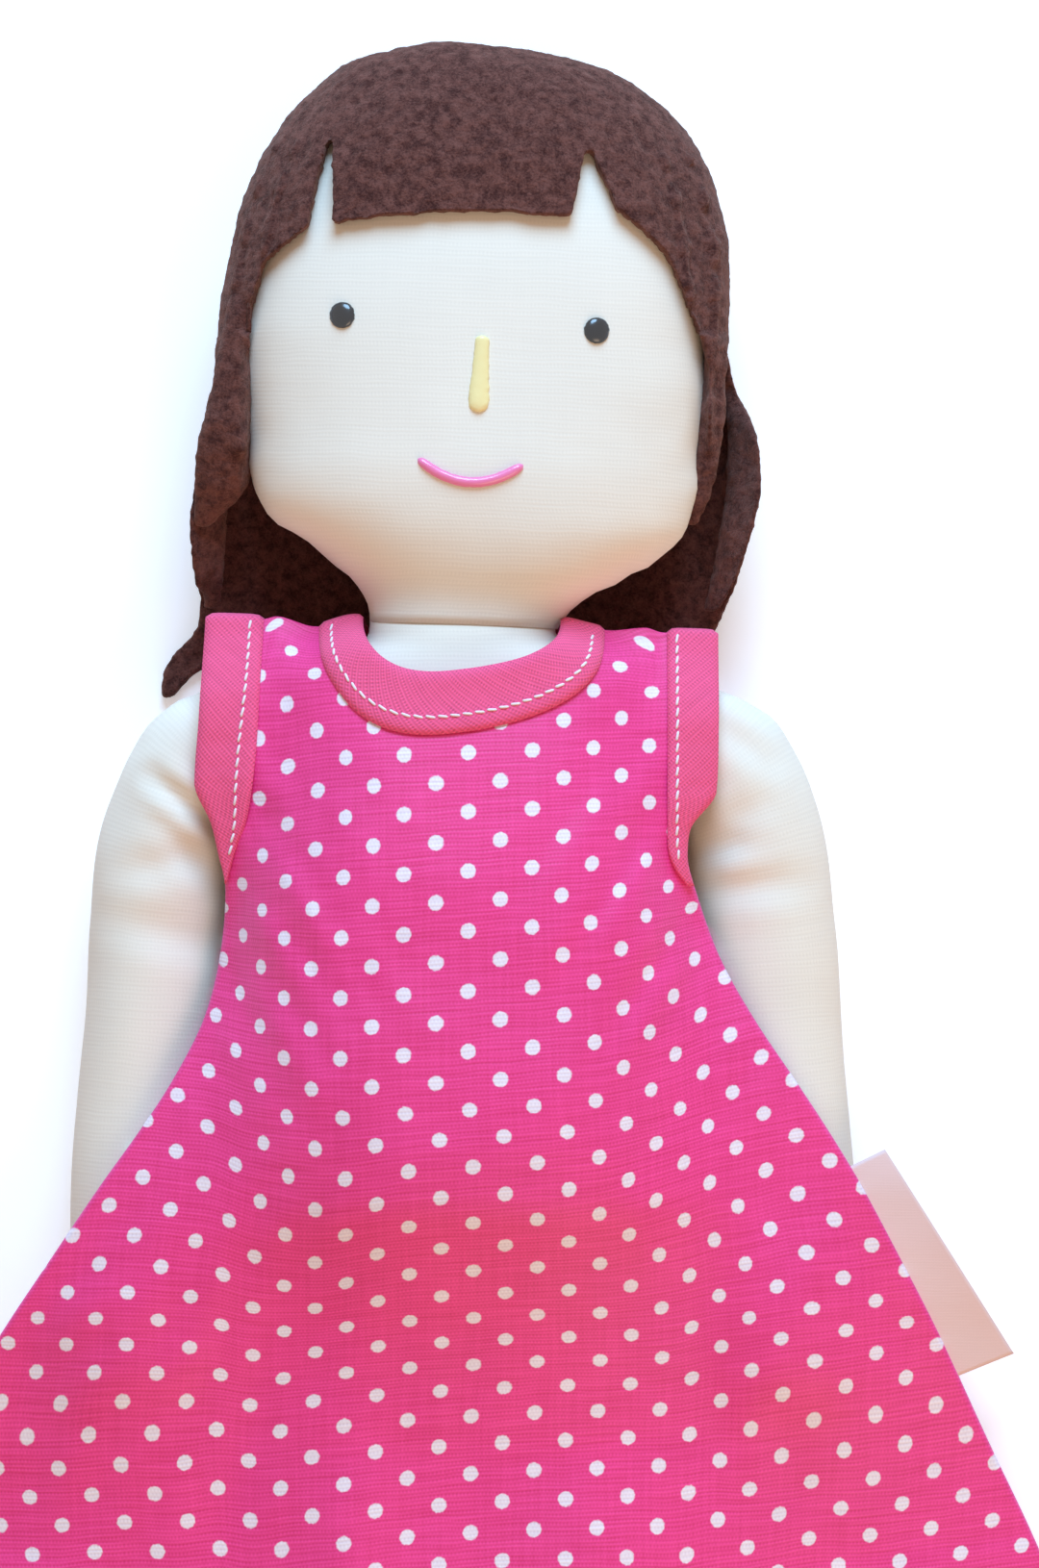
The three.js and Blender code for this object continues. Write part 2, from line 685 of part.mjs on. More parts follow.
// Lets a cloth sag between a floor and a roof until it hangs still, and gives its heights.
// Below the armholes its two edges are sewn down to the floor where they are seamed.
function drape(columns, rows, floorAt, roofAt, sag, seamed) {
  const place = [];
  for (let j = 0; j <= rows; j++) {
    for (let i = 0; i <= columns; i++) place.push(clothPlace(i / columns, j / rows));
  }
  const across = columns + 1;
  const low = place.map(([x, y]) => floorAt(x, y));
  const sewn = (n) => seamed && place[n][1] < armpit && (n % across === 0 || n % across === columns);
  const high = place.map(([x, y], n) => (sewn(n) ? low[n] : roofAt(x, y)));
  const heights = low.map((value, n) => Math.min(value, high[n]));
  const rounds = 260;
  for (let round = 0; round < rounds; round++) {
    for (let j = 0; j <= rows; j++) {
      for (let i = 0; i <= columns; i++) {
        const n = j * across + i;
        let sum = 0;
        let count = 0;
        if (i > 0) [sum, count] = [sum + heights[n - 1], count + 1];
        if (i < columns) [sum, count] = [sum + heights[n + 1], count + 1];
        if (j > 0) [sum, count] = [sum + heights[n - across], count + 1];
        if (j < rows) [sum, count] = [sum + heights[n + across], count + 1];
        heights[n] = Math.max(Math.min(sum / count - sag, high[n]), low[n]);
      }
    }
  }
  const at = (u, v) => {
    const [s, t] = [THREE.MathUtils.clamp(u, 0, 1) * columns, THREE.MathUtils.clamp(v, 0, 1) * rows];
    const [i, j] = [Math.min(Math.floor(s), columns - 1), Math.min(Math.floor(t), rows - 1)];
    const n = j * across + i;
    const near = mix(heights[n], heights[n + 1], s - i);
    const far = mix(heights[n + across], heights[n + across + 1], s - i);
    return mix(near, far, t - j);
  };
  // The height at a place on the ground plan.
  const over = (x, y) => {
    let v = clothRowAt(shoulderRise - y);
    let side = 0;
    for (let turn = 0; turn < 4; turn++) {
      const edge = Math.abs(clothPlace(x < 0 ? 0 : 1, v)[0]);
      side = THREE.MathUtils.clamp(x / edge, -1, 1);
      v = clothRowAt(shoulderRise - y + hemSag * v * v * side * side);
    }
    return at((1 + side) / 2, v);
  };
  return { at, over };
}

const clothColumns = 20;
const clothRows = 20;
const clothSag = 0.4;
const clothReach = 4;               // a cloth clears what lies this near on the ground plan
const bindingRoom = bindingThickness + 5 * gap;
const placketRoom = cotton + 3 * gap;
const studRoom = studThickness + 3 * gap;

// The highest or lowest value of a height around a place.
function around(pick, heightAt, x, y) {
  const values = [];
  for (const dx of [-clothReach, 0, clothReach]) {
    for (const dy of [-clothReach, 0, clothReach]) values.push(heightAt(x + dx, y + dy));
  }
  return pick(...values);
}

// Where binding lies outside the cloth, the cloth keeps room for it.
function bindingRoomAt(x, y) {
  const down = shoulderRise - y;
  if (down > armholeDepth + clothReach) return 0;
  const edge = Math.abs(dressEdgeAt(down, Math.sign(x) || 1));
  const beside = Math.abs(x) > edge - bindingWidth - 2 * clothReach;
  const above = Math.hypot(x / (neckOpeningHalfWidth + bindingWidth + clothReach),
    down / (backNeckDepth + bindingWidth + clothReach)) < 1;
  return beside || above ? bindingRoom : 0;
}

function nearStud(x, y) {
  return Math.hypot(x - placketX, y + studDrop) < studRadius + 2 * clothReach;
}

function backFloorAt(x, y) {
  const hair = around(Math.max, hairTopAt, x, y);
  const outside = Math.max(bindingRoomAt(x, y), nearStud(x, y) ? studRoom : 0);
  const limb = y < armpit && Math.abs(x) > torsoHalfWidth ? around(Math.max, limbsTopAt, x, y) : 0;
  return Math.max(hair > 0 ? hair + 3 * gap + outside : outside, limb > 0 ? limb + ease : 0);
}

function backRoofAt(x, y) {
  const torso = around(Math.min, (a, b) => torsoAt(a, b)?.back ?? Infinity, x, y);
  const arm = y > armpit ? around(Math.min, armsUnderAt, x, y) : Infinity;
  const besideLegs = Math.abs(x) > legSpread + legHalfWidth + 2 * clothReach;
  const underLeg = y < -torsoLength && !besideLegs ? 0 : Infinity;
  const slit = y > -placketLength - 4 * clothReach && Math.abs(x) < placketWidth + clothReach;
  const inside = (slit ? placketRoom : 0) + (nearStud(x, y) ? studRoom : 0);
  return Math.max(Math.min(Math.min(torso, arm) - ease - cotton - inside, underLeg), 0);
}

const atSeam = (y) => y > shoulderRise - gap;

const backCloth = drape(clothColumns, clothRows,
  (x, y) => (atSeam(y) ? shoulderHeight - cotton - 2 * gap : backFloorAt(x, y)),
  (x, y) => (atSeam(y) ? shoulderHeight - cotton - 2 * gap : backRoofAt(x, y)), clothSag, false);

function frontFloorAt(x, y) {
  const body = (a, b) => Math.max(torsoAt(a, b)?.front ?? 0, limbsTopAt(a, b));
  return Math.max(around(Math.max, body, x, y) + ease, backCloth.over(x, y) + cotton + 3 * gap);
}

const frontCloth = drape(clothColumns, clothRows,
  (x, y) => (atSeam(y) ? shoulderHeight : frontFloorAt(x, y)),
  (x, y) => (atSeam(y) ? shoulderHeight : Infinity), clothSag, true);

// One panel of the dress, from one share of its width to another, or the same panel made thicker.
function dressPanel(cloth, from, to, columns, margin = 0) {
  const slit = from > 0 ? gap / 2 : 0;
  const shift = to < 1 ? -gap / 2 : slit;
  return layeredForm(columns, clothRows, (s, t) => {
    const [u, v] = [mix(from, to, s), 1 - t];
    const [x, y] = clothPlace(u, v);
    const under = cloth.at(u, v);
    return { x: x + shift, y, top: under + cotton + margin, under: under - margin };
  });
}

const frontThick = dressPanel(frontCloth, 0, 1, clothColumns, gap / 2);
const backThick = [[0, 0.5], [0.5, 1]].map(([from, to]) => (
  dressPanel(backCloth, from, to, clothColumns / 2, gap / 2)));

function neckCut(depth) {
  const half = neckOpeningHalfWidth + bindingWidth / 3;
  const outline = ellipseOutline(half, shoulderRise, depth + bindingWidth / 3, 20);
  return prismOver(outline, -overrun, torsoThickness + overrun);
}

function makeDressFront() {
  return cut(dressPanel(frontCloth, 0, 1, clothColumns), neckCut(frontNeckDepth));
}

function makeDressBack(side) {
  const [from, to] = side < 0 ? [0, 0.5] : [0.5, 1];
  const arm = limb(armStations(side, gap), limbSides);
  return cut(dressPanel(backCloth, from, to, clothColumns / 2), neckCut(backNeckDepth), arm);
}

// The bindings

const frontFaceAt = (x, y) => frontCloth.over(x, y) + cotton + 2.5 * gap;
const backFaceAt = (x, y) => backCloth.over(x, y) - 2.5 * gap;

// The neck binding is a ring: over the front, round both shoulder seams and under the back.
function makeNeckBinding() {
  const stations = [];
  const steps = 14;
  const half = (depth, face, up) => {
    for (let i = 0; i <= steps; i++) {
      const angle = up > 0 ? Math.PI * (1 + i / steps) : Math.PI * (2 - i / steps);
      const [c, s] = [Math.cos(angle), Math.sin(angle)];
      const near = [neckOpeningHalfWidth * c, shoulderRise + depth * s];
      const far = [(neckOpeningHalfWidth + bindingWidth) * c, shoulderRise + (depth + bindingWidth) * s];
      stations.push({ line: lineOver(near, far, face), facing: [0, 0, up] });
    }
  };
  half(frontNeckDepth, frontFaceAt, 1);
  stations.push(seamTurn(neckOpeningHalfWidth, neckOpeningHalfWidth + bindingWidth));
  half(backNeckDepth, backFaceAt, -1);
  stations.push(seamTurn(-neckOpeningHalfWidth, -neckOpeningHalfWidth - bindingWidth));
  return cut(ribbon(stations, bindingThickness, true), frontThick, ...backThick);
}

// Where a binding turns over a shoulder seam from the front to the back.
function seamTurn(from, to) {
  const y = shoulderRise + 2 * gap;
  return { line: lineOver([from, y], [to, y], () => shoulderHeight), facing: [0, 1, 0] };
}

// An armhole binding runs up the front of the armhole, over the shoulder seam and down the back.
function makeArmholeBinding(side) {
  const stations = [];
  const steps = 12;
  const [late, sharp] = bindingTaperShares;
  const place = (share, inset) => {
    const down = share * armholeDepth;
    return [dressEdgeAt(down, side) - side * inset, shoulderRise - down];
  };
  const strip = (face, up) => {
    for (let i = 0; i <= steps; i++) {
      const share = armholeBoundShare * (up > 0 ? 1 - i / steps : i / steps);
      const narrow = bindingWidth * Math.pow(1 - Math.pow(share, late), sharp);
      const line = lineOver(place(share, narrow), place(share, 0), face);
      stations.push({ line, facing: [0, 0, up] });
    }
  };
  strip(frontFaceAt, 1);
  stations.push(seamTurn(place(0, bindingWidth)[0], place(0, 0)[0]));
  strip(backFaceAt, -1);
  const arm = limb(armStations(side, gap), limbSides);
  return cut(ribbon(stations, bindingThickness, false), frontThick, ...backThick, arm);
}

// The side label: a folded ribbon caught in the side seam

function makeLabel() {
  return layeredForm(2, 10, (u, v) => {
    const y = -labelDrop - (1 - v) * labelLength * labelSpanShare;
    const edge = dressEdgeAt(shoulderRise - y, 1);
    const seam = frontCloth.over(edge, y);
    const reach = mix(labelReach * labelUpperShare, labelReach, 1 - v);
    const top = seam + cotton - u * gap;
    return {
      x: edge + gap + u * reach,
      y: y + u * reach * labelLeanShare,
      top,
      under: top - labelThickness,
    };
  });
}

// The back opening: a placket behind the slit, closed by a press stud

function placketUnderAt(x, y) {
  return backCloth.over(x, y) + cotton + 1.5 * gap;
}

function makePlacket() {
  return layeredForm(3, 12, (u, v) => {
    const x = placketX - placketWidth / 2 + u * placketWidth;
    const y = -backNeckDepth - bindingWidth / 3 - gap - (1 - v) * placketLength;
    const under = placketUnderAt(x, y);
    return { x, y, top: under + cotton, under };
  });
}

// Half a press stud: a shallow dome on a flange.
function stud(height, facing) {
  const profile = studShares
    .map(([radius, rise]) => new THREE.Vector2(radius * studRadius, rise * studThickness));
  const half = new THREE.LatheGeometry(profile, 20);
  half.rotateX(facing * Math.PI / 2);
  half.translate(placketX, -studDrop, height);
  return half;
}

function makeSnapSocket() {
  return stud(around(Math.max, placketUnderAt, placketX, -studDrop) + cotton + gap, 1);
}

function makeSnapCap() {
  return stud(around(Math.min, backCloth.over, placketX, -studDrop) - gap, -1);
}

// Putting the doll together

const finish = {
  cottonSkin: [colours.cottonSkin, 0.9], fleeceHair: [colours.fleeceHair, 1],
  pinkCotton: [colours.pinkCotton, 0.85], pinkBinding: [colours.pinkBinding, 0.85],
  blackPaint: [colours.blackPaint, 0.15], nosePaint: [colours.nosePaint, 0.35],
  lipPaint: [colours.lipPaint, 0.25], satin: [colours.satin, 0.4], nylon: [colours.nylon, 0.45],
};

const doll = new THREE.Group();

function add(name, geometry, kind) {
  const [color, roughness] = finish[kind];
  const material = new THREE.MeshStandardMaterial({ color, roughness, metalness: 0 });
  const mesh = new THREE.Mesh(geometry, material);
  mesh.name = name;
  doll.add(mesh);
}

add('torso', makeTorso(), 'cottonSkin');
add('head', makeHead(), 'cottonSkin');
for (const [name, side] of [['left', -1], ['right', 1]]) {
  add(`${name}_arm`, makeArm(side), 'cottonSkin');
  add(`${name}_leg`, makeLeg(side), 'cottonSkin');
  add(`${name}_eye`, makeEye(side), 'blackPaint');
  add(`dress_back_${name}`, makeDressBack(side), 'pinkCotton');
  add(`${name}_armhole_binding`, makeArmholeBinding(side), 'pinkBinding');
}
add('nose', makeNose(), 'nosePaint');
add('mouth', makeMouth(), 'lipPaint');
add('hair_front', makeHairFront(), 'fleeceHair');
add('hair_back', makeHairBack(), 'fleeceHair');
add('dress_front', makeDressFront(), 'pinkCotton');
add('neck_binding', makeNeckBinding(), 'pinkBinding');
add('side_label', makeLabel(), 'satin');
add('back_placket', makePlacket(), 'pinkCotton');
add('snap_socket', makeSnapSocket(), 'nylon');
add('snap_cap', makeSnapCap(), 'nylon');

const box = new THREE.Box3().setFromObject(doll);
const middle = box.getCenter(new THREE.Vector3());
doll.position.set(-middle.x, -middle.y, -box.min.z);

export default doll;
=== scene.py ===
# %% [markdown]
# # A rag doll in a dotted dress
# The doll is a flat cotton figure, stuffed with loose filling and laid on its back. Its hard
# facts, such as where the neck bends and how far the legs lift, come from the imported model,
# which is loaded here as a fixed frame. Everything below gives that frame its soft surfaces.

# %% Load the frame
import json
import math

import bmesh
import bpy
import numpy as np
from mathutils import Matrix, Vector, noise
from mathutils.bvhtree import BVHTree

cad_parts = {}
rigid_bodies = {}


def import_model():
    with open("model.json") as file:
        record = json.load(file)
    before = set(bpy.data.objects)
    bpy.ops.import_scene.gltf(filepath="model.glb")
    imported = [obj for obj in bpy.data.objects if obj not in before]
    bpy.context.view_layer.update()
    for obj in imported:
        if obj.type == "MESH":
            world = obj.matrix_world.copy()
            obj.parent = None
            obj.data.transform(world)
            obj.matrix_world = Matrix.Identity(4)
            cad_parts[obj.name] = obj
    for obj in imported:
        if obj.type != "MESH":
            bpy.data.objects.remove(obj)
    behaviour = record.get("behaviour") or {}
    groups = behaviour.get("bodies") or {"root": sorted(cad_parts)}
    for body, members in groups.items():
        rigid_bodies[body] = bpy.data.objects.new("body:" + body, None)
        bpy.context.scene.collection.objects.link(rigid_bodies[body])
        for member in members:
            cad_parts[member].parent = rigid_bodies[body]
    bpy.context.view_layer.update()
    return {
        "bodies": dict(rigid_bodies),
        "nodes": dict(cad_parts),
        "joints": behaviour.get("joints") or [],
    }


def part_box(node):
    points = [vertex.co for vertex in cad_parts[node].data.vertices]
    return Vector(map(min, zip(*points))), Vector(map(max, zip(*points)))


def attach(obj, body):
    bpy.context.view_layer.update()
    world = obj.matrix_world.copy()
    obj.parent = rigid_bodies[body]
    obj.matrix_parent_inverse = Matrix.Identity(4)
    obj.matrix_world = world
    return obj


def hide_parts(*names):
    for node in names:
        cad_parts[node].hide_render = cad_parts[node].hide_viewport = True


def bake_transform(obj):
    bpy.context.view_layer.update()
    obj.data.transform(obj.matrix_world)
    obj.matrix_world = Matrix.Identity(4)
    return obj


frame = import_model()
scene = bpy.context.scene
MM = 0.001
joints = {joint["name"]: joint for joint in frame["joints"]}

# %% [markdown]
# ## Where things are
# A pattern cutter measures a doll from its neck seam, so the shapes below count x from the
# middle of the doll and y from that seam, up towards the crown. The seam lies a little above
# the hinge that the frame gives for the neck, and z is the height above the ground.

# %% The doll's own measures
PIVOT = Vector(joints["neck_nod"]["pos_m"])
NECK_PIVOT_DROP = 9 * MM
MIDDLE_X = PIVOT.x
SEAM_Y = PIVOT.y + NECK_PIVOT_DROP
SEAM_Z = PIVOT.z
WORD = {-1: "left", 1: "right"}     # the doll's sides, by the sign of x in the photograph

GAP = 0.3 * MM
COTTON = 0.7 * MM
FLEECE = 2.7 * MM

HEAD_HEIGHT = 118 * MM
HEAD_HALF_WIDTH = 48.4 * MM
HEAD_THICKNESS = 46 * MM
HEAD_LEAN = math.radians(-2)
NECK_RADIUS = 13 * MM

TORSO_LENGTH = 152 * MM
TORSO_HALF_WIDTH = 45 * MM
TORSO_THICKNESS = 50 * MM

SHOULDER_X = 36.5 * MM
SHOULDER_DROP = 12 * MM
ARM_HALF_WIDTH = 14 * MM
ARM_THICKNESS = 28 * MM
ARM_LENGTH = 148 * MM
ARM_DRIFT = 33.5 * MM

LEG_LENGTH = 186 * MM
LEG_HALF_WIDTH = 18 * MM
LEG_THICKNESS = 26 * MM
LEG_SPREAD = 21 * MM

DRESS_LENGTH = 213 * MM
DRESS_HALF_WIDTH = 132 * MM
SHOULDER_RISE = 1 * MM
ARMHOLE_DEPTH = 55 * MM
HEM_SAG = 9 * MM
BINDING_WIDTH = 13 * MM
BINDING_THICKNESS = 1 * MM
NECK_OPENING = 20.5 * MM
FRONT_NECK_DEPTH = 10.4 * MM
BACK_NECK_DEPTH = 4 * MM

# Height above the neck seam, half width, and how far the jaw sits to the right
HEAD_OUTLINE_SHARES = [
    (0, 0.405, 0.0), (0.03, 0.43, 0.02), (0.06, 0.49, 0.05), (0.085, 0.575, 0.075),
    (0.11, 0.67, 0.08), (0.14, 0.78, 0.075), (0.17, 0.87, 0.06), (0.21, 0.935, 0.03),
    (0.26, 0.96, 0.02), (0.34, 0.975, 0.02), (0.42, 1, 0.015), (0.5, 1.005, 0.0),
]
HEAD_DEPTH_SHARES = [(0, 0.565), (0.05, 0.63), (0.1, 0.79), (0.17, 0.92), (0.28, 1), (0.5, 1)]
CROWN_START = 0.5
CROWN_ROUNDNESS = 2.35
HEAD_ROUNDNESS = 2.4
TORSO_ROUNDNESS = 2.3

# Distance below the neck seam, half width
TORSO_OUTLINE_SHARES = [
    (-0.03, 0.425), (0, 0.433), (0.02, 0.45), (0.035, 0.55), (0.05, 0.68), (0.065, 0.765),
    (0.079, 0.79), (0.22, 0.8), (0.32, 0.9), (0.46, 0.955), (0.79, 1), (0.92, 0.96), (1, 0.93),
]
# Distance below the neck seam, then the heights of the front, the side seam and the back
TORSO_DEPTH_SHARES = [
    (0, 0.76, 0.5, 0.24), (0.08, 0.81, 0.5, 0.2), (0.2, 0.9, 0.48, 0.155), (0.3, 0.95, 0.47, 0.12),
    (0.4, 0.99, 0.46, 0.08), (0.52, 1, 0.445, 0.035), (0.62, 1.01, 0.43, 0.03),
    (0.71, 0.99, 0.41, 0.03), (0.78, 0.93, 0.38, 0.03), (0.86, 0.7, 0.33, 0.06),
    (0.93, 0.44, 0.27, 0.11), (0.975, 0.29, 0.235, 0.17), (1, 0.224, 0.22, 0.216),
]
# Along the arm: drift out, distance down, the middle's height, half width, half thickness
ARM_SHARES = [
    (0, 0, 0.88, 0.02, 0.6), (0.09, 0.025, 0.86, 0.3, 0.68), (0.3, 0.06, 0.8, 0.72, 0.78),
    (0.57, 0.12, 0.7, 0.98, 0.86), (0.766, 0.22, 0.6, 0.98, 0.92), (0.856, 0.34, 0.54, 0.93, 0.95),
    (0.9, 0.48, 0.51, 0.93, 0.98), (0.946, 0.64, 0.51, 0.97, 0.98), (0.976, 0.8, 0.51, 0.99, 0.98),
    (0.99, 0.9, 0.51, 0.9, 0.94), (0.997, 0.96, 0.49, 0.68, 0.76), (1, 0.99, 0.47, 0.36, 0.44),
]
# Along the leg: distance down, drift out, half width, heights of the top, middle and underside
LEG_SHARES = [
    (0.0015, 0, 1.02, 0.43, 0.423, 0.416), (0.03, 0, 1.03, 0.56, 0.43, 0.3),
    (0.07, 0, 1, 0.76, 0.46, 0.16), (0.13, 0.02, 0.94, 0.98, 0.5, 0.06),
    (0.25, 0.05, 0.9, 1.03, 0.52, 0.06), (0.4, 0.09, 0.87, 1.02, 0.5, 0.03),
    (0.55, 0.14, 0.84, 0.99, 0.47, -0.04), (0.7, 0.19, 0.8, 0.95, 0.45, -0.04),
    (0.82, 0.23, 0.77, 0.95, 0.45, -0.04), (0.91, 0.26, 0.8, 1.02, 0.46, -0.04),
    (0.96, 0.27, 0.72, 0.96, 0.45, 0.0), (0.985, 0.28, 0.54, 0.82, 0.45, 0.1),
    (1, 0.28, 0.3, 0.62, 0.45, 0.24),
]
# Distance below the shoulder seam, then the left and right edge of the dress
DRESS_EDGE_SHARES = [
    (0, 0.405, 0.405), (0.1, 0.413, 0.404), (0.165, 0.42, 0.4), (0.2, 0.395, 0.36),
    (0.23, 0.383, 0.355), (0.26, 0.373, 0.367), (0.33, 0.383, 0.408), (0.39, 0.408, 0.462),
    (0.45, 0.457, 0.527), (0.5, 0.51, 0.58), (0.55, 0.568, 0.629), (0.62, 0.645, 0.69),
    (0.7, 0.732, 0.757), (0.82, 0.852, 0.848), (0.9, 0.925, 0.91), (1, 1.0, 0.98),
]
print("doll from crown to neck seam, mm:", round(HEAD_HEIGHT / MM))

# %% [markdown]
# ## The camera
# The photograph looks straight down on the doll from about a metre and a quarter, so lines
# hardly converge. Each millimetre of doll covers five pixels, and the frame is a little
# to the right of the doll's middle.

# %% The camera
IMAGE_WIDTH, IMAGE_HEIGHT = 1080, 1630
PIXELS_PER_MM = 5.0
MIDDLE_PIXEL_X = 480            # the doll's middle in the photograph
SEAM_PIXEL_Y = 650              # the neck seam in the photograph
CAMERA_DISTANCE = 1.25
MEASURED_HEIGHT = 30 * MM       # the height above ground at which the scale holds
SENSOR = 36.0


def at_pixel(column, row):
    """The doll's own x and y of a pixel of the photograph."""
    across = (column - MIDDLE_PIXEL_X) / PIXELS_PER_MM * MM
    return across, (SEAM_PIXEL_Y - row) / PIXELS_PER_MM * MM


centre_x, centre_y = at_pixel(IMAGE_WIDTH / 2, IMAGE_HEIGHT / 2)
camera_data = bpy.data.cameras.new("camera")
camera = bpy.data.objects.new("camera", camera_data)
scene.collection.objects.link(camera)
camera.location = (MIDDLE_X + centre_x, SEAM_Y + centre_y, MEASURED_HEIGHT + CAMERA_DISTANCE)
camera_data.sensor_width = SENSOR
camera_data.lens = SENSOR * CAMERA_DISTANCE / (IMAGE_HEIGHT / PIXELS_PER_MM * MM)
camera_data.clip_start = 0.05
scene.camera = camera
print("lens, mm:", round(camera_data.lens, 1))

# %% [markdown]
# ## Shapes from a few numbers
# Each stuffed piece is two flat pieces of cotton sewn round their edge, so a table of half
# widths and heights along its length says all there is to say. A smooth curve through the
# table, rather than straight lines, keeps the outline as soft as a turned seam.


# %% Curves through tables
def curve_through(rows):
    """A smooth curve through rows of (place, value, value...), as a function of the place."""
    table = np.array(rows, float)
    place, value = table[:, 0], table[:, 1:]
    last = len(table) - 1
    before = np.maximum(np.arange(last + 1) - 1, 0)
    after = np.minimum(np.arange(last + 1) + 1, last)
    slope = (value[after] - value[before]) / (place[after] - place[before])[:, None]

    def at(where):
        where = np.clip(np.asarray(where, float), place[0], place[-1])
        i = np.clip(np.searchsorted(place, where) - 1, 0, last - 1)
        step = (place[i + 1] - place[i])[..., None]
        t = (where - place[i])[..., None] / step
        rise = value[i + 1] - value[i]
        safe = np.where(rise == 0, 1, rise)
        start, end = (np.clip(s * step / safe, 0, 3) * rise for s in (slope[i], slope[i + 1]))
        return (value[i] + rise * (3 * t**2 - 2 * t**3)
                + start * (t**3 - 2 * t**2 + t) + end * (t**3 - t**2))

    return at


def smooth_step(value, low, high):
    """0 below low, 1 above high, and a smooth ramp between them."""
    t = np.clip((value - low) / (high - low), 0, 1)
    return t * t * (3 - 2 * t)


def hump(value, middle, width):
    """1 at the middle, and a smooth fall to nothing over about twice the width."""
    return np.exp(-((value - middle) / width) ** 2)


def noise_over(points, size, seed=0.0):
    """Smooth noise from -1 to 1 at each point, with features of about that size."""
    shift = Vector((seed * 7.3, seed * 3.1, seed * 5.7))
    return np.array([noise.noise(Vector(p) / size + shift) for p in points])


head_outline = curve_through(HEAD_OUTLINE_SHARES)
head_depth = curve_through(HEAD_DEPTH_SHARES)
torso_outline = curve_through(TORSO_OUTLINE_SHARES)
torso_depth = curve_through(TORSO_DEPTH_SHARES)
dress_edges = curve_through(DRESS_EDGE_SHARES)

# %% [markdown]
# A stuffed piece is a skin over rings of points. Its UV map is laid out in metres, round
# the ring and along it, so that one weave material has the same thread size on every piece.
# Building rings by hand keeps the seam line at a known place, which a sculpt wouldn't.


# %% Building meshes
def add_piece(name, points, faces, corner_uv=None):
    """A smooth mesh object at its place in the frame, from points in the doll's own measures."""
    placed = np.asarray(points, float) + (MIDDLE_X, SEAM_Y, 0)
    mesh = bpy.data.meshes.new(name)
    mesh.from_pydata(placed.tolist(), [], faces)
    if corner_uv is not None:
        layer = mesh.uv_layers.new(name="cloth")
        layer.data.foreach_set("uv", np.asarray(corner_uv, np.float32).ravel())
    mesh.shade_smooth()
    mesh.validate()
    piece = bpy.data.objects.new(name, mesh)
    scene.collection.objects.link(piece)
    return piece


def skin(name, rings, joined=False):
    """A closed skin over rings of points, capped at both ends or joined end to end."""
    rings = np.asarray(rings, float)
    count, sides = rings.shape[:2]
    closed = np.concatenate([rings, rings[:, :1]], axis=1)
    step = np.linalg.norm(np.diff(closed, axis=1), axis=2)
    around = np.concatenate([np.zeros((count, 1)), np.cumsum(step, axis=1)], axis=1)
    around -= around[:, sides // 4][:, None]
    middle = rings.mean(axis=1)
    along = np.concatenate([[0], np.cumsum(np.linalg.norm(np.diff(middle, axis=0), axis=1))])
    points = list(rings.reshape(-1, 3))
    faces, uv = [], []
    for r in range(count if joined else count - 1):
        n = (r + 1) % count
        far = along[n] if n else along[r] + np.linalg.norm(middle[0] - middle[r])
        for s in range(sides):
            t = (s + 1) % sides
            faces.append((r * sides + s, r * sides + t, n * sides + t, n * sides + s))
            uv += [(around[r, s], along[r]), (around[r, s + 1], along[r]),
                   (around[n, s + 1], far), (around[n, s], far)]
    if not joined:
        for r, turned in ((0, True), (count - 1, False)):
            points.append(middle[r])
            for s in range(sides):
                t = (s + 1) % sides
                ends = (t, s) if turned else (s, t)
                faces.append((r * sides + ends[0], r * sides + ends[1], len(points) - 1))
                uv += [(around[r, s], along[r])] * 3
    return add_piece(name, points, faces, uv)


def vertex_values(piece, attribute="co"):
    """The places or normals of a piece's vertices, as rows of three."""
    values = np.zeros(len(piece.data.vertices) * 3, np.float32)
    piece.data.vertices.foreach_get(attribute, values)
    return values.reshape(-1, 3).astype(float)


def set_places(piece, places):
    """Puts a piece's vertices at new places."""
    piece.data.vertices.foreach_set("co", places.astype(np.float32).ravel())
    piece.data.update()


def push(piece, amount):
    """Moves each vertex along its normal."""
    set_places(piece, vertex_values(piece) + vertex_values(piece, "normal") * amount[:, None])


def move(piece, across=0, up=0, out=0):
    """Moves a piece's vertices across, towards the crown and away from the ground."""
    still = np.zeros(len(piece.data.vertices))
    steps = np.stack([still + across, still + up, still + out], axis=1)
    set_places(piece, vertex_values(piece) + steps)


def facing_out(piece):
    """Turns a closed mesh the right way out."""
    co = vertex_values(piece)
    piece.data.calc_loop_triangles()
    corners = np.array([t.vertices for t in piece.data.loop_triangles])
    a, b, c = (co[corners[:, k]] for k in range(3))
    if np.einsum("ij,ij->i", a, np.cross(b, c)).sum() < 0:
        piece.data.flip_normals()
    return piece


def own_places(piece):
    """A piece's vertices in the doll's own measures."""
    return vertex_values(piece) - (MIDDLE_X, SEAM_Y, 0)


# %% [markdown]
# ## The stuffed body
# Head, torso, arms and legs are pillows. Across a pillow the cloth rises steeply from the
# seam and is nearly flat in the middle, which a power curve gives with one number. The seam
# draws the cloth in, so it gets a fine groove with puckers fading away from it.


# %% The head
def crown_fall(share):
    """How much of its width and thickness the head keeps towards the crown."""
    t = np.clip((share - CROWN_START) / (1 - CROWN_START), 0, 1)
    return np.maximum(1 - t**CROWN_ROUNDNESS, 0) ** (1 / CROWN_ROUNDNESS)


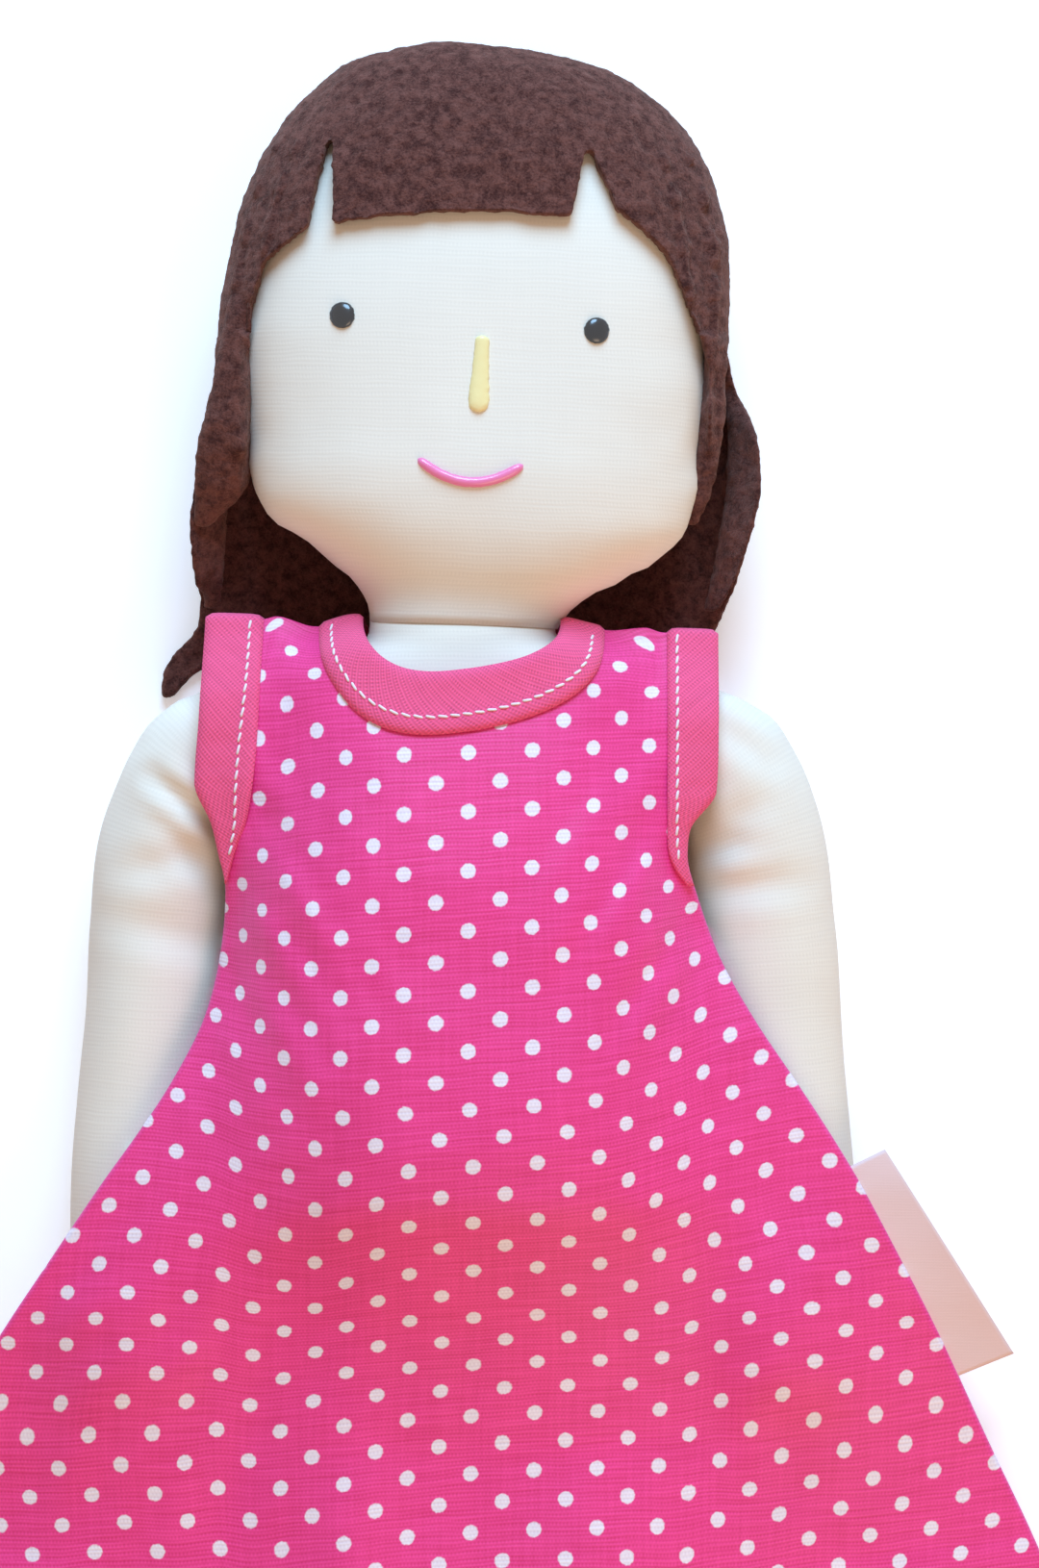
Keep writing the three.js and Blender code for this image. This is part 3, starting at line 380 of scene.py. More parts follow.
def pillow_rings(x_middle, y, half_width, seam, rise, fall, roundness, sides):
    """Rings across a pillow: rise and fall are its heights above and below the seam."""
    angle = 2 * np.pi * np.arange(sides) / sides
    across = np.cos(angle)
    height = np.sqrt(np.maximum(1 - np.abs(across) ** roundness, 0))
    up = np.sin(angle) >= 0
    above, below = seam[:, None] + rise[:, None] * height, seam[:, None] - fall[:, None] * height
    z = np.where(up[None], above, below)
    x = x_middle[:, None] + half_width[:, None] * across
    return np.stack([x, np.broadcast_to(y[:, None], x.shape), z], axis=2)


def leaning(points):
    """Leans points of the head a little to one side, about the neck."""
    c, s = math.cos(HEAD_LEAN), math.sin(HEAD_LEAN)
    x, y = points[..., 0], points[..., 1] + NECK_PIVOT_DROP
    turned = np.stack([x * c - y * s, x * s + y * c - NECK_PIVOT_DROP], axis=-1)
    return np.concatenate([turned, points[..., 2:]], axis=-1)


def head_rings(margin, rows, sides):
    """The head's rings from the neck seam to the crown, grown by a margin."""
    v = np.linspace(0, 1, rows)
    share = np.sin(v * np.pi / 2) * (1 - v) + v * (1 - (1 - v) ** 2.2)
    fall = np.maximum(crown_fall(share), 0.02)
    half, aside = head_outline(share).T
    wide = HEAD_HALF_WIDTH * half * fall + margin
    thick = HEAD_THICKNESS / 2 * head_depth(share)[:, 0] * fall + margin
    y = share * HEAD_HEIGHT + margin * (2 * share - 1)
    seam = np.full(rows, SEAM_Z)
    middle = HEAD_HALF_WIDTH * aside
    return leaning(pillow_rings(middle, y, wide, seam, thick, thick, HEAD_ROUNDNESS, sides))


def socket_rings(first):
    """Closes the head's lower end with a hollow for the top of the torso's neck."""
    middle = first.mean(axis=0)
    rings = []
    for k in (0.06, 0.2, 0.4, 0.62, 0.75, 0.85, 0.93, 0.972, 0.985):
        ring = middle + (first - middle) * k
        if k < 0.98:
            ring[:, 1] += min(4.6, 0.5 + 4 * math.sqrt((0.973 - k) / 0.35)) * MM
        rings.append(ring)
    return np.array(rings)


SEAM_GROOVE = 0.9 * MM          # how far the groove of a sewn edge reaches to each side


def seam_puckers(piece, rim, depth, reach, pitch, seed):
    """Draws the skin in along a seam. rim is each vertex's distance from the seam."""
    places = own_places(piece)
    wave = noise_over(places, pitch, seed)
    groove = hump(rim, 0, SEAM_GROOVE)
    push(piece, -depth * groove + 0.9 * depth * wave * np.exp(-rim / reach))


rings = head_rings(0, 96, 128)
head = facing_out(skin("head_skin", np.concatenate([socket_rings(rings[0]), rings])))
places = own_places(head)
above_neck = smooth_step(places[:, 1], 1 * MM, 9 * MM)
rim = np.abs(places[:, 2] - SEAM_Z)
seam_puckers(head, rim + 9 * MM * (1 - above_neck), 0.55 * MM, 6 * MM, 6 * MM, 1)
jaw = above_neck * (1 - smooth_step(places[:, 1], 30 * MM, 60 * MM))
dents = jaw * np.exp(-rim / (7 * MM)) * noise_over(places * (1, 1, 0.2), 7 * MM, 3)
push(head, above_neck * 0.4 * MM * noise_over(places, 32 * MM, 2) + 1.5 * MM * dents)
print("head:", len(head.data.polygons), "faces")

# %% [markdown]
# The torso is the same kind of pillow, but flatter behind, where it's pressed on the ground.
# The top of its neck is a low dome in a hollow of the head's lower end, which stands in for
# the sewn seam between the two.

# %% The torso
TORSO_ROWS, TORSO_SIDES = 90, 96
down = np.linspace(-(NECK_RADIUS - NECK_PIVOT_DROP - GAP), TORSO_LENGTH - GAP / 2, TORSO_ROWS)
share = down / TORSO_LENGTH
front, seam, back = (torso_depth(np.maximum(share, 0)) * TORSO_THICKNESS).T
tuck = np.clip(-down / (NECK_RADIUS - NECK_PIVOT_DROP), 0, 1)
neck = np.where(down < 0, NECK_RADIUS * (0.97 - 0.35 * tuck**2), NECK_RADIUS + 0.35 * down)
neck = np.where(down > NECK_PIVOT_DROP, TORSO_THICKNESS, neck)
torso = facing_out(skin("torso_skin", pillow_rings(
    np.zeros(TORSO_ROWS), -down, TORSO_HALF_WIDTH * torso_outline(share)[:, 0], seam,
    np.minimum(front - seam, neck), np.minimum(seam - back, neck), TORSO_ROUNDNESS, TORSO_SIDES)))
places = own_places(torso)
seam_at = np.interp(-places[:, 1], down, seam)
seam_puckers(torso, np.abs(places[:, 2] - seam_at), 0.3 * MM, 5 * MM, 7 * MM, 4)
print("torso:", len(torso.data.polygons), "faces")

# %% [markdown]
# An arm or leg follows a middle line, and its rings stand across that line. Where a limb
# rests on the ground it's pressed flat, and where it's sewn in at the shoulder or hip it
# narrows to a flat seam with gathers.


# %% Arms and legs
def limb_rings(line, wide, inner, rise, fall, sides):
    """Rings across a middle line of points, pressed flat where they would pass the ground."""
    along = np.gradient(line[:, :2], axis=0)
    along /= np.linalg.norm(along, axis=1)[:, None]
    angle = 2 * np.pi * np.arange(sides) / sides
    towards_body = np.cos(angle) * np.sign(line[-1, 0]) < 0
    side = np.where(towards_body, inner[:, None], wide[:, None]) * np.cos(angle)
    lift = np.sin(angle) * np.where(np.sin(angle) > 0, rise[:, None], fall[:, None])
    x = line[:, :1] - along[:, 1:] * side
    y = line[:, 1:2] + along[:, :1] * side
    return np.stack([x, y, np.maximum(line[:, 2:] + lift, 0)], axis=2)


def even_rows(table, column, rows):
    """Interpolates a table along one of its columns, with rows closer together at its ends."""
    places = np.array([row[column] for row in table])
    v = np.linspace(0, 1, rows)
    where = places[0] + (places[-1] - places[0]) * (v - 0.09 * np.sin(2 * np.pi * v))
    order = [(row[column], *row) for row in table]
    return curve_through(order)(where)


def gather(piece, top, reach, amount, pitch, seed):
    """Gathers the skin towards the seam at y = top, with folds that run away from it."""
    places = own_places(piece)
    squeezed = places * (1, 0.35, 1)
    near = np.exp(-np.maximum(top - places[:, 1], 0) / reach)
    push(piece, amount * near * noise_over(squeezed, pitch, seed))


def crease(piece, start, end, depth, width):
    """Presses a soft valley into a piece's upper side, between two places of the photograph."""
    places = own_places(piece)
    start, end = (np.array(at_pixel(*pixel)) for pixel in (start, end))
    way = end - start
    t = np.clip((places[:, :2] - start) @ way / (way @ way), 0, 1)
    away = np.linalg.norm(places[:, :2] - start - t[:, None] * way, axis=1) / width
    strength = np.sin(np.pi * (0.12 + 0.76 * t)) * smooth_step(places[:, 2], 6 * MM, 14 * MM)
    push(piece, depth * strength * (0.45 * np.exp(-((away - 1.9) ** 2)) - np.exp(-away**2)))


# By side: both ends of a crease in the photograph, its depth and its width in mm
ARMPIT_CREASES = {
    -1: [((156, 806), (222, 858), 1.7, 2.0), ((128, 905), (226, 888), 0.7, 3.0),
         ((120, 958), (222, 985), 0.6, 3.5), ((172, 860), (228, 925), 0.8, 2.5)],
    1: [((742, 748), (798, 790), 0.9, 3.0), ((742, 884), (790, 878), 0.9, 2.5),
        ((735, 925), (835, 918), 0.7, 3.0), ((790, 838), (745, 872), 0.7, 3.0)],
}


def make_arm(side):
    """An arm that hangs from its shoulder seam, with the creases of a stuffed armpit."""
    out, fall, height, wide, thick = even_rows(ARM_SHARES, 1, 110).T
    line = np.stack([side * (SHOULDER_X + out * ARM_DRIFT),
                     -SHOULDER_DROP - fall * ARM_LENGTH, height * SEAM_Z], axis=1)
    half = thick * ARM_THICKNESS / 2
    fuller = 1 + 0.3 * smooth_step(fall, 0.12, 0.3) * (1 - smooth_step(fall, 0.42, 0.65))
    wide *= ARM_HALF_WIDTH
    rings = limb_rings(line, wide, wide * fuller, half, half, 72)
    arm = facing_out(skin(f"{WORD[side]}_arm_skin", rings))
    gather(arm, -SHOULDER_DROP, 22 * MM, 1.0 * MM, 6 * MM, 10 + side)
    push(arm, 0.6 * MM * noise_over(own_places(arm), 24 * MM, 12 + side))
    for start, end, depth, width in ARMPIT_CREASES[side]:
        crease(arm, start, end, depth * MM, width * MM)
    return press(arm)


def make_leg(side):
    """A leg that lies straight down from its hip seam, with its foot a little apart."""
    along, drift, wide, top, middle, under = even_rows(LEG_SHARES, 0, 96).T
    line = np.stack([side * LEG_SPREAD * (1 + drift),
                     -TORSO_LENGTH - along * LEG_LENGTH, middle * LEG_THICKNESS], axis=1)
    wide *= LEG_HALF_WIDTH
    rings = limb_rings(line, wide, wide, (top - middle) * LEG_THICKNESS,
                       (middle - under) * LEG_THICKNESS, 64)
    leg = facing_out(skin(f"{WORD[side]}_leg_skin", rings))
    gather(leg, -TORSO_LENGTH - 6 * MM, 16 * MM, 0.9 * MM, 6 * MM, 20 + side)
    push(leg, 0.6 * MM * noise_over(own_places(leg), 26 * MM, 22 + side))
    return press(leg)


def press(piece):
    """Keeps a piece out of the ground."""
    places = vertex_values(piece)
    places[:, 2] = np.maximum(places[:, 2], 0)
    set_places(piece, places)
    return piece


arms = {side: make_arm(side) for side in (-1, 1)}
legs = {side: make_leg(side) for side in (-1, 1)}
counts = [len(limb.data.polygons) for limb in (*arms.values(), *legs.values())]
print("limbs:", sum(counts), "faces")

# %% [markdown]
# ## The dress
# The dress is two layers of printed cotton sewn at the shoulders and sides. The frame's solids
# already hang as the cloth does, so the fine cloth takes its heights from them: rays are cast
# onto them over a raster, the steps between their facets are smoothed away, and the cloth's
# grid then reads that raster. A simulation from flat would end in other folds than the frame's.

# %% Heights of the hung cloth
RASTER = 1.5 * MM
RASTER_X = np.arange(-138, 138.1, 1.5) * MM
RASTER_Y = np.arange(-220, 8.1, 1.5) * MM
RAY_START = 0.2                 # well above the doll, or below it


def cast_heights(names, from_above):
    """The heights of some CAD solids over the raster, with no number beside them."""
    depsgraph = bpy.context.evaluated_depsgraph_get()
    trees = [BVHTree.FromObject(frame["nodes"][name], depsgraph) for name in names]
    start = RAY_START if from_above else -RAY_START
    heights = np.full((len(RASTER_Y), len(RASTER_X)), np.nan)
    for j, y in enumerate(RASTER_Y):
        for i, x in enumerate(RASTER_X):
            origin = Vector((x + MIDDLE_X, y + SEAM_Y, start))
            hits = [tree.ray_cast(origin, Vector((0, 0, -start)))[0] for tree in trees]
            found = [hit.z for hit in hits if hit is not None]
            if found:
                heights[j, i] = max(found) if from_above else min(found)
    return heights


def spread(heights):
    """Fills what has no number with the mean of its neighbours, again and again."""
    filled = heights.copy()
    while np.isnan(filled).any():
        padded = np.pad(filled, 1, constant_values=np.nan)
        near = np.stack([padded[:-2, 1:-1], padded[2:, 1:-1], padded[1:-1, :-2], padded[1:-1, 2:]])
        known = ~np.isnan(near)
        total = np.where(known, near, 0).sum(axis=0)
        mean = np.where(known.any(axis=0), total / np.maximum(known.sum(axis=0), 1), np.nan)
        filled = np.where(np.isnan(filled), mean, filled)
    return filled


def blurred(heights, times):
    """Evens out a raster along both its directions, as often as asked."""
    for _ in range(times):
        for axis in (0, 1):
            pad = [(1, 1) if axis == k else (0, 0) for k in range(2)]
            wide = np.pad(heights, pad, mode="edge")
            low, high = (wide[:-2], wide[2:]) if axis == 0 else (wide[:, :-2], wide[:, 2:])
            heights = (low + 2 * heights + high) / 4
    return heights


def read_raster(raster, x, y):
    """The raster's value at places between its points."""
    s = np.clip((x - RASTER_X[0]) / RASTER, 0, len(RASTER_X) - 1.001)
    t = np.clip((y - RASTER_Y[0]) / RASTER, 0, len(RASTER_Y) - 1.001)
    i, j = s.astype(int), t.astype(int)
    s, t = s - i, t - j
    low = raster[j, i] * (1 - s) + raster[j, i + 1] * s
    high = raster[j + 1, i] * (1 - s) + raster[j + 1, i + 1] * s
    return low * (1 - t) + high * t


front_top = blurred(spread(cast_heights(["dress_front"], True)), 5)
back_under = blurred(spread(cast_heights(["dress_back_left", "dress_back_right"], False)), 4)
print("front of the dress stands up to", round(front_top.max() / MM, 1), "mm high")

# %% [markdown]
# ### The print along the cloth
# The printed dots keep their pitch along the cloth, not across the picture, so they look
# closer together where the cloth slopes away. The UV map therefore counts distance along the
# hung surface, and the print's rows lean a little, as they do on the real dress.

# %% Distance along the cloth
ROW_LEAN = 0.061                # the dot rows climb this much for each unit across
DOT_X, DOT_Y = at_pixel(487, 783)


def along_cloth(raster):
    """Distance along the surface from the doll's middle, and from the neck seam."""
    rise_y, rise_x = np.gradient(raster, RASTER)
    step_x = np.sqrt(1 + np.minimum(rise_x**2, 4)) * RASTER
    step_y = np.sqrt(1 + np.minimum(rise_y**2, 4)) * RASTER
    across = np.cumsum(step_x, axis=1)
    across -= across[:, np.argmin(np.abs(RASTER_X - DOT_X))][:, None]
    up = np.cumsum(step_y, axis=0)
    up -= up[np.argmin(np.abs(RASTER_Y - DOT_Y))][None]
    return across + DOT_X, up + DOT_Y


front_across, front_up = along_cloth(front_top)
back_across, back_up = along_cloth(back_under)


def dress_edge(down, side):
    """How far across the dress's edge lies, at a distance below the shoulder seam."""
    left, right = np.moveaxis(dress_edges(np.clip(down / DRESS_LENGTH, 0, 1)), -1, 0)
    return side * DRESS_HALF_WIDTH * np.where(side < 0, left, right)


# %% [markdown]
# ### Folds, hem and side seams
# What the solids leave out is worked into the fine cloth: small folds that run out from the
# bodice like a fan, drag lines beside the armholes, a turned hem, and side seams that roll
# under. Noise stretched along polar lines gives such folds, where plain noise would give lumps.

# %% The cloth's grid and its folds
COLUMN_TURN = 1.4               # how much closer the grid's columns lie towards the side seams


def cloth_grid(low, high, columns, rows):
    """A grid of places on the dress between two shares of its width, from -1 to 1."""
    side = np.sin(COLUMN_TURN * np.linspace(low, high, columns))[None] / math.sin(COLUMN_TURN)
    v = np.linspace(0, 1, rows)[:, None]
    y = SHOULDER_RISE - DRESS_LENGTH * v**1.15 + HEM_SAG * v**2 * side**2
    sign = np.where(side < 0, -1, 1) * np.ones_like(v)
    return np.abs(side) * dress_edge(SHOULDER_RISE - y, sign), y


def hill(x, y, x_middle, y_middle, wide, long):
    """A round hill of height 1 on the dress, with its middle and half sizes in mm."""
    across, up = (x - x_middle * MM) / (wide * MM), (y - y_middle * MM) / (long * MM)
    return np.exp(-(across**2 + up**2))


FOLD_CENTRE = 70 * MM           # the skirt's folds run out from this far above the neck seam


def folds(x, y):
    """Small folds that the solids leave out: they run out from the bodice and grow downwards."""
    angle, reach = np.arctan2(x, FOLD_CENTRE - y), np.hypot(x, FOLD_CENTRE - y)
    low = smooth_step(reach, 130 * MM, 270 * MM)
    fan = np.stack([angle.ravel() * 0.24, reach.ravel() * 0.3, np.zeros(x.size)], axis=1)
    broad = noise_over(fan, 26 * MM, 31).reshape(x.shape)
    fine = noise_over(fan, 9 * MM, 32).reshape(x.shape)
    skirt = (0.5 + 2.0 * broad + 0.6 * fine) * low
    pull = np.stack([(np.abs(x) - 0.7 * y).ravel(), 0.25 * (np.abs(x) + 0.7 * y).ravel(),
                     np.sign(x).ravel() * 0.1], axis=1)
    near_armhole = hill(np.abs(x), y, 42, -62, 22, 34)
    drag = noise_over(pull, 8 * MM, 33).reshape(x.shape) * near_armhole
    flat = np.stack([x.ravel(), y.ravel(), np.zeros(x.size)], axis=1)
    soft = noise_over(flat, 24 * MM, 34).reshape(x.shape)
    return (skirt + 1.7 * drag + 0.7 * soft) * MM


HEM_WIDTH = 10 * MM


def hem_step(above):
    """The turned hem is a layer thicker and draws in along its stitches."""
    turned = 0.25 * MM * (1 - smooth_step(above, HEM_WIDTH - 0.4 * MM, HEM_WIDTH + 0.4 * MM))
    stitch = -0.22 * MM * hump(above, HEM_WIDTH - MM, 0.5 * MM)
    return turned + stitch


SEAM_ROLL = 1.3 * MM            # the radius that the cloth turns down with at the side seams


def side_roll(side, edge):
    """How far the cloth has turned down where the side seam rolls it under."""
    turned = np.clip(1 - (1 - np.abs(side)) * edge / SEAM_ROLL, 0, 1)
    return SEAM_ROLL * (1 - np.sqrt(1 - turned**2))


# %% [markdown]
# ### Where the print has slipped
# Real cloth isn't hung evenly: it's drawn up at the flared sides and slips askew in each fold,
# and the dots show it. A few smooth steps and small hills move the print by a millimetre or
# two, without touching the shape. They were set from where the dots of the photograph
# and of the render lay apart.

# %% The print's slip
# Middle across and up in mm, half width, half length, and the slip across and up there
PRINT_HILLS = [
    (-28, -35, 9, 22, 1.3, 0), (-40, -30, 9, 16, 0, -1.6), (28, -58, 10, 12, -1.0, 0),
    (40, -6, 5, 7, 2.0, -1.5), (-44, -105, 10, 12, 1.0, 0), (44, -107, 8, 12, 1.0, 0),
    (-26, -113, 12, 12, 0, -1.0), (-29, -132, 11, 13, 0, -2.0), (44, -125, 10, 30, 0, 1.2),
    (66, -135, 16, 28, -2.2, 0), (-44, -179, 13, 18, 0, 1.6), (44, -179, 13, 18, 0, 1.6),
]


def print_slip(x, y):
    """How far the print has slipped from its even hang, across and up."""
    def down(first, last):
        return smooth_step(-y, first * MM, last * MM)

    aside = smooth_step(np.abs(x), 28 * MM, 75 * MM)
    flare = 7 * down(50, 66) * (1 - 0.72 * down(145, 180)) * aside
    slip_y = flare + 0.9 * down(90, 112) + 3.2 * down(134, 165)
    spread_left = 30 * np.maximum(-x - 25 * MM, 0) * down(150, 175)
    slip_x = 1.0 * down(92, 112) - 0.7 * down(150, 170) - spread_left
    for *place, right, up in PRINT_HILLS:
        there = hill(x, y, *place)
        slip_x, slip_y = slip_x + right * there, slip_y + up * there
    return slip_x * MM, slip_y * MM


# %% [markdown]
# ### The layers of the dress
# Each panel is one cloth with its own thickness: a top and an underside, joined round every open
# edge, so it can be seen from inside too. The neck comes out through a hole in both.


# %% The layers of the dress
def dress_panel(name, low, high, columns, rows, surface, across, up, front):
    """One layer of the dress with its thickness, and a hole where the neck comes out."""
    x, y = cloth_grid(low, high, columns, rows)
    height = read_raster(surface, x, y)
    edge = np.maximum(np.abs(dress_edge(SHOULDER_RISE - y, np.where(x < 0, -1, 1))), MM)
    side = x / edge
    hem = SHOULDER_RISE - DRESS_LENGTH + HEM_SAG * side**2
    held = smooth_step(np.abs(y - SHOULDER_RISE), 2 * MM, 14 * MM)
    held *= 1 - smooth_step(np.abs(side), 0.86, 1)
    back_rise = 0.3 * np.maximum(folds(x, y), 0) * held
    if front:
        behind = read_raster(back_under, x, y) + back_rise + COTTON
        top = height + 0.3 * MM + folds(x, y) * held + hem_step(y - hem)
        top = np.maximum(top, behind + COTTON + 0.3 * MM) - side_roll(side, edge)
        under = top - COTTON
    else:
        under = np.maximum(height + back_rise, 0)
        top = under + COTTON
    depth = FRONT_NECK_DEPTH if front else BACK_NECK_DEPTH
    wide = NECK_OPENING + BINDING_WIDTH / 3
    cut = (x / wide) ** 2 + ((y - SHOULDER_RISE) / (depth + BINDING_WIDTH / 3)) ** 2 < 1
    print_x = read_raster(across, x, y) - DOT_X
    print_y = read_raster(up, x, y) - DOT_Y - ROW_LEAN * print_x
    if front:
        slip_x, slip_y = print_slip(x, y)
        print_x, print_y = print_x - slip_x, print_y - slip_y
    return sheet_mesh(name, x, y, top, under, cut, np.stack([print_x, print_y], axis=2))


def sheet_mesh(name, x, y, top, under, cut, print_uv):
    """Two layers of a grid joined round every open edge, without the faces that are cut out."""
    rows, columns = x.shape
    layer = rows * columns
    index = np.arange(layer).reshape(rows, columns)
    kept = ~(cut[:-1, :-1] & cut[1:, :-1] & cut[:-1, 1:] & cut[1:, 1:])
    faces = []
    for j, i in zip(*np.nonzero(kept)):
        a, b, c, d = index[j, i], index[j, i + 1], index[j + 1, i + 1], index[j + 1, i]
        faces += [(a, d, c, b), (layer + a, layer + b, layer + c, layer + d)]
    wall = np.pad(kept, 1)
    for j, i in zip(*np.nonzero(kept)):
        corners = index[j, i], index[j, i + 1], index[j + 1, i + 1], index[j + 1, i]
        beside = wall[j, i + 1], wall[j + 1, i + 2], wall[j + 2, i + 1], wall[j + 1, i]
        for k, has_neighbour in enumerate(beside):
            if not has_neighbour:
                p, q = corners[k], corners[(k + 1) % 4]
                faces.append((p, q, layer + q, layer + p))
    points = np.concatenate([np.stack([x, y, z], axis=2).reshape(-1, 3) for z in (top, under)])
    uv = np.concatenate([print_uv.reshape(-1, 2)] * 2)
    used = np.unique(np.concatenate([np.array(face) for face in faces]))
    renumber = np.full(len(points), -1)
    renumber[used] = np.arange(len(used))
    corner_uv = np.concatenate([uv[list(face)] for face in faces])
    faces = [tuple(int(renumber[n]) for n in face) for face in faces]
    return facing_out(add_piece(name, points[used], faces, corner_uv))


SLIT = 0.004                    # the back opening's half width, as a share of the dress's
front_rasters = front_top, front_across, front_up
back_rasters = back_under, back_across, back_up
dress_front = dress_panel("dress_front_cloth", -1, 1, 201, 190, *front_rasters, True)
dress_backs = {
    -1: dress_panel("dress_back_left_cloth", -1, -SLIT, 96, 170, *back_rasters, False),
    1: dress_panel("dress_back_right_cloth", SLIT, 1, 96, 170, *back_rasters, False),
}
print("dress front:", len(dress_front.data.polygons), "faces")

# %% [markdown]
# ## The bindings
# Bias binding is a folded strip that wraps the raw edge of the cloth. It is a little proud
# of the dress, soft at its folds, and held by one row of white stitches. Each strip is a ring
# of cross-sections that runs over the front, turns over the shoulder seam and goes on behind.

# %% The binding strips
PROFILE_STEPS = 10
NECK_BINDING_SIDE = 9.2 * MM    # the binding is a little narrower at the sides of the neck
NECK_SQUARENESS = 0.84          # 1 makes the neckline a true ellipse
NECK_SLANT = 0.15               # the neckline has slipped down a little on its left side
SEAM_REACH = 0.1 * MM           # how far the strips' inner side passes the shoulder seam
FACE_LIFT = 0.75 * MM           # the strips' inner face over the dress's own, in front and behind


def strip_section(near, far, heights, facing, thickness, pucker):
    """One closed cross-section of binding between two places, with soft folded edges."""
    t = np.linspace(0, 1, PROFILE_STEPS + 1)[:, None]
    line = np.asarray(near) * (1 - t) + np.asarray(far) * t
    base = np.concatenate([line, heights(line[:, 0], line[:, 1])[:, None]], axis=1)
    swell = (1 - np.abs(2 * t - 1) ** 5) ** 0.5 * (1 + pucker)
    face = base + np.asarray(facing) * thickness * (0.12 + 0.95 * swell)
    return np.concatenate([base, face[::-1]])


def strip(name, stations, joined):
    """A binding strip through its stations, which are the numbers of its cross-sections."""
    sections = [strip_section(*station) for station in stations]
    return facing_out(skin(name, sections, joined))


def front_face(x, y):
    """The height of the strips' inner face in front."""
    return read_raster(front_top, x, y) + FACE_LIFT


def back_face(x, y):
    """The height of the strips' inner face behind, clear of the ground."""
    return np.maximum(read_raster(back_under, x, y) - FACE_LIFT, BINDING_THICKNESS + GAP / 2)


def shoulder_turn(near_x, far_x, steps, backwards=False):
    """Stations that carry a strip over the shoulder seam, from the front face to the back face."""
    stations = []
    angles = np.linspace(0, np.pi, steps + 2)[1:-1]
    for angle in angles[::-1] if backwards else angles:
        c, s = math.cos(angle), math.sin(angle)

        def heights(x, y, c=c):
            seam = y * 0 + SHOULDER_RISE
            ahead, behind = front_face(x, seam), back_face(x, seam)
            return (ahead + behind) / 2 + c * (ahead - behind) / 2

        y = SHOULDER_RISE + SEAM_REACH * s
        stations.append(((near_x, y), (far_x, y), heights, (0, s, c), BINDING_THICKNESS, 0))
    return stations


def pucker_at(i, seed):
    """How much thicker or thinner the strip is at a station."""
    return 0.18 * noise.noise(Vector((i * 0.55, seed * 4.4, 0.5)))


def neck_place(share, depth, angle):
    """A place on the neck binding, from its share of the way out and its turn round the neck."""
    c, s = math.cos(angle), math.sin(angle)
    squared = [math.copysign(abs(part) ** NECK_SQUARENESS, part) for part in (c, s)]
    x = (NECK_OPENING + share * NECK_BINDING_SIDE) * squared[0]
    y = SHOULDER_RISE + (depth + share * BINDING_WIDTH) * squared[1]
    return x, y + NECK_SLANT * x * s * s


def neck_half(depth, face, up, steps):
    """The stations of the front or back half of the neck binding."""
    stations = []
    for i in range(steps + 1):
        angle = np.pi * (1 + i / steps) if up > 0 else np.pi * (2 - i / steps)
        near, far = (neck_place(share, depth, angle) for share in (0, 1))
        stations.append((near, far, face, (0, 0, up), BINDING_THICKNESS, pucker_at(i, up)))
    return stations


wide = NECK_OPENING + NECK_BINDING_SIDE
neck_stations = (neck_half(FRONT_NECK_DEPTH, front_face, 1, 90)
                 + shoulder_turn(NECK_OPENING, wide, 7)
                 + neck_half(BACK_NECK_DEPTH, back_face, -1, 70)
                 + shoulder_turn(-NECK_OPENING, -wide, 7, backwards=True))
neck_binding = strip("neck_binding_strip", neck_stations, True)


def armhole_edge(share, side):
    """A place on the dress's raw edge, at a share of the armhole's depth."""
    down = share * ARMHOLE_DEPTH
    return float(dress_edge(np.array(down), np.array(side))), SHOULDER_RISE - down


# Share of the armhole's depth, then in mm the strip's inner edge and its stitches' distance from it
ARMHOLE_STRIPS = {
    -1: [(0, 41.3, 2.8), (0.26, 41.8, 3.0), (0.5, 42.5, 3.7), (0.65, 43.4, 3.4),
         (0.78, 44.8, 2.3), (0.87, 46.8, 1.1), (0.96, 48.3, 0.5), (1, 49.0, 0.3)],
    1: [(0, 42.8, 2.0), (0.4, 42.7, 2.0), (0.8, 42.6, 2.0), (0.88, 43.0, 1.9),
        (0.94, 44.4, 1.2), (1, 46.9, 0.4)],
}
armhole_strips = {side: curve_through(np.array(rows) * (1, MM, MM))
                  for side, rows in ARMHOLE_STRIPS.items()}


def make_armhole_binding(side):
    """A strip up the front of an armhole, over the shoulder and down its back."""
    stations = []
    for face, up in ((front_face, 1), (back_face, -1)):
        for i in range(51):
            share = 1 - i / 50 if up > 0 else i / 50
            near = side * armhole_strips[side](share)[0], SHOULDER_RISE - share * ARMHOLE_DEPTH
            stations.append((near, armhole_edge(share, side), face, (0, 0, up),
                             BINDING_THICKNESS, pucker_at(i, 3 + up + side)))
        if up > 0:
            stations += shoulder_turn(near[0], armhole_edge(0, side)[0], 5)
    return strip(f"{WORD[side]}_armhole_binding_strip", stations, False)


armhole_bindings = {side: make_armhole_binding(side) for side in (-1, 1)}
print("bindings:", 3)

# %% [markdown]
# ### Topstitching
# A row of topstitching is a dotted line of thread lying in small dips. Each stitch is made as
# a short bent tube whose ends dive into the cloth, and all the stitches of one row are one mesh.

# %% Topstitching
STITCH_LENGTH = 2.15 * MM
STITCH_PITCH = 2.55 * MM
STITCH_SLANT = 0.17             # each stitch lies a little across its row, as a lockstitch does
THREAD_RADIUS = 0.28 * MM


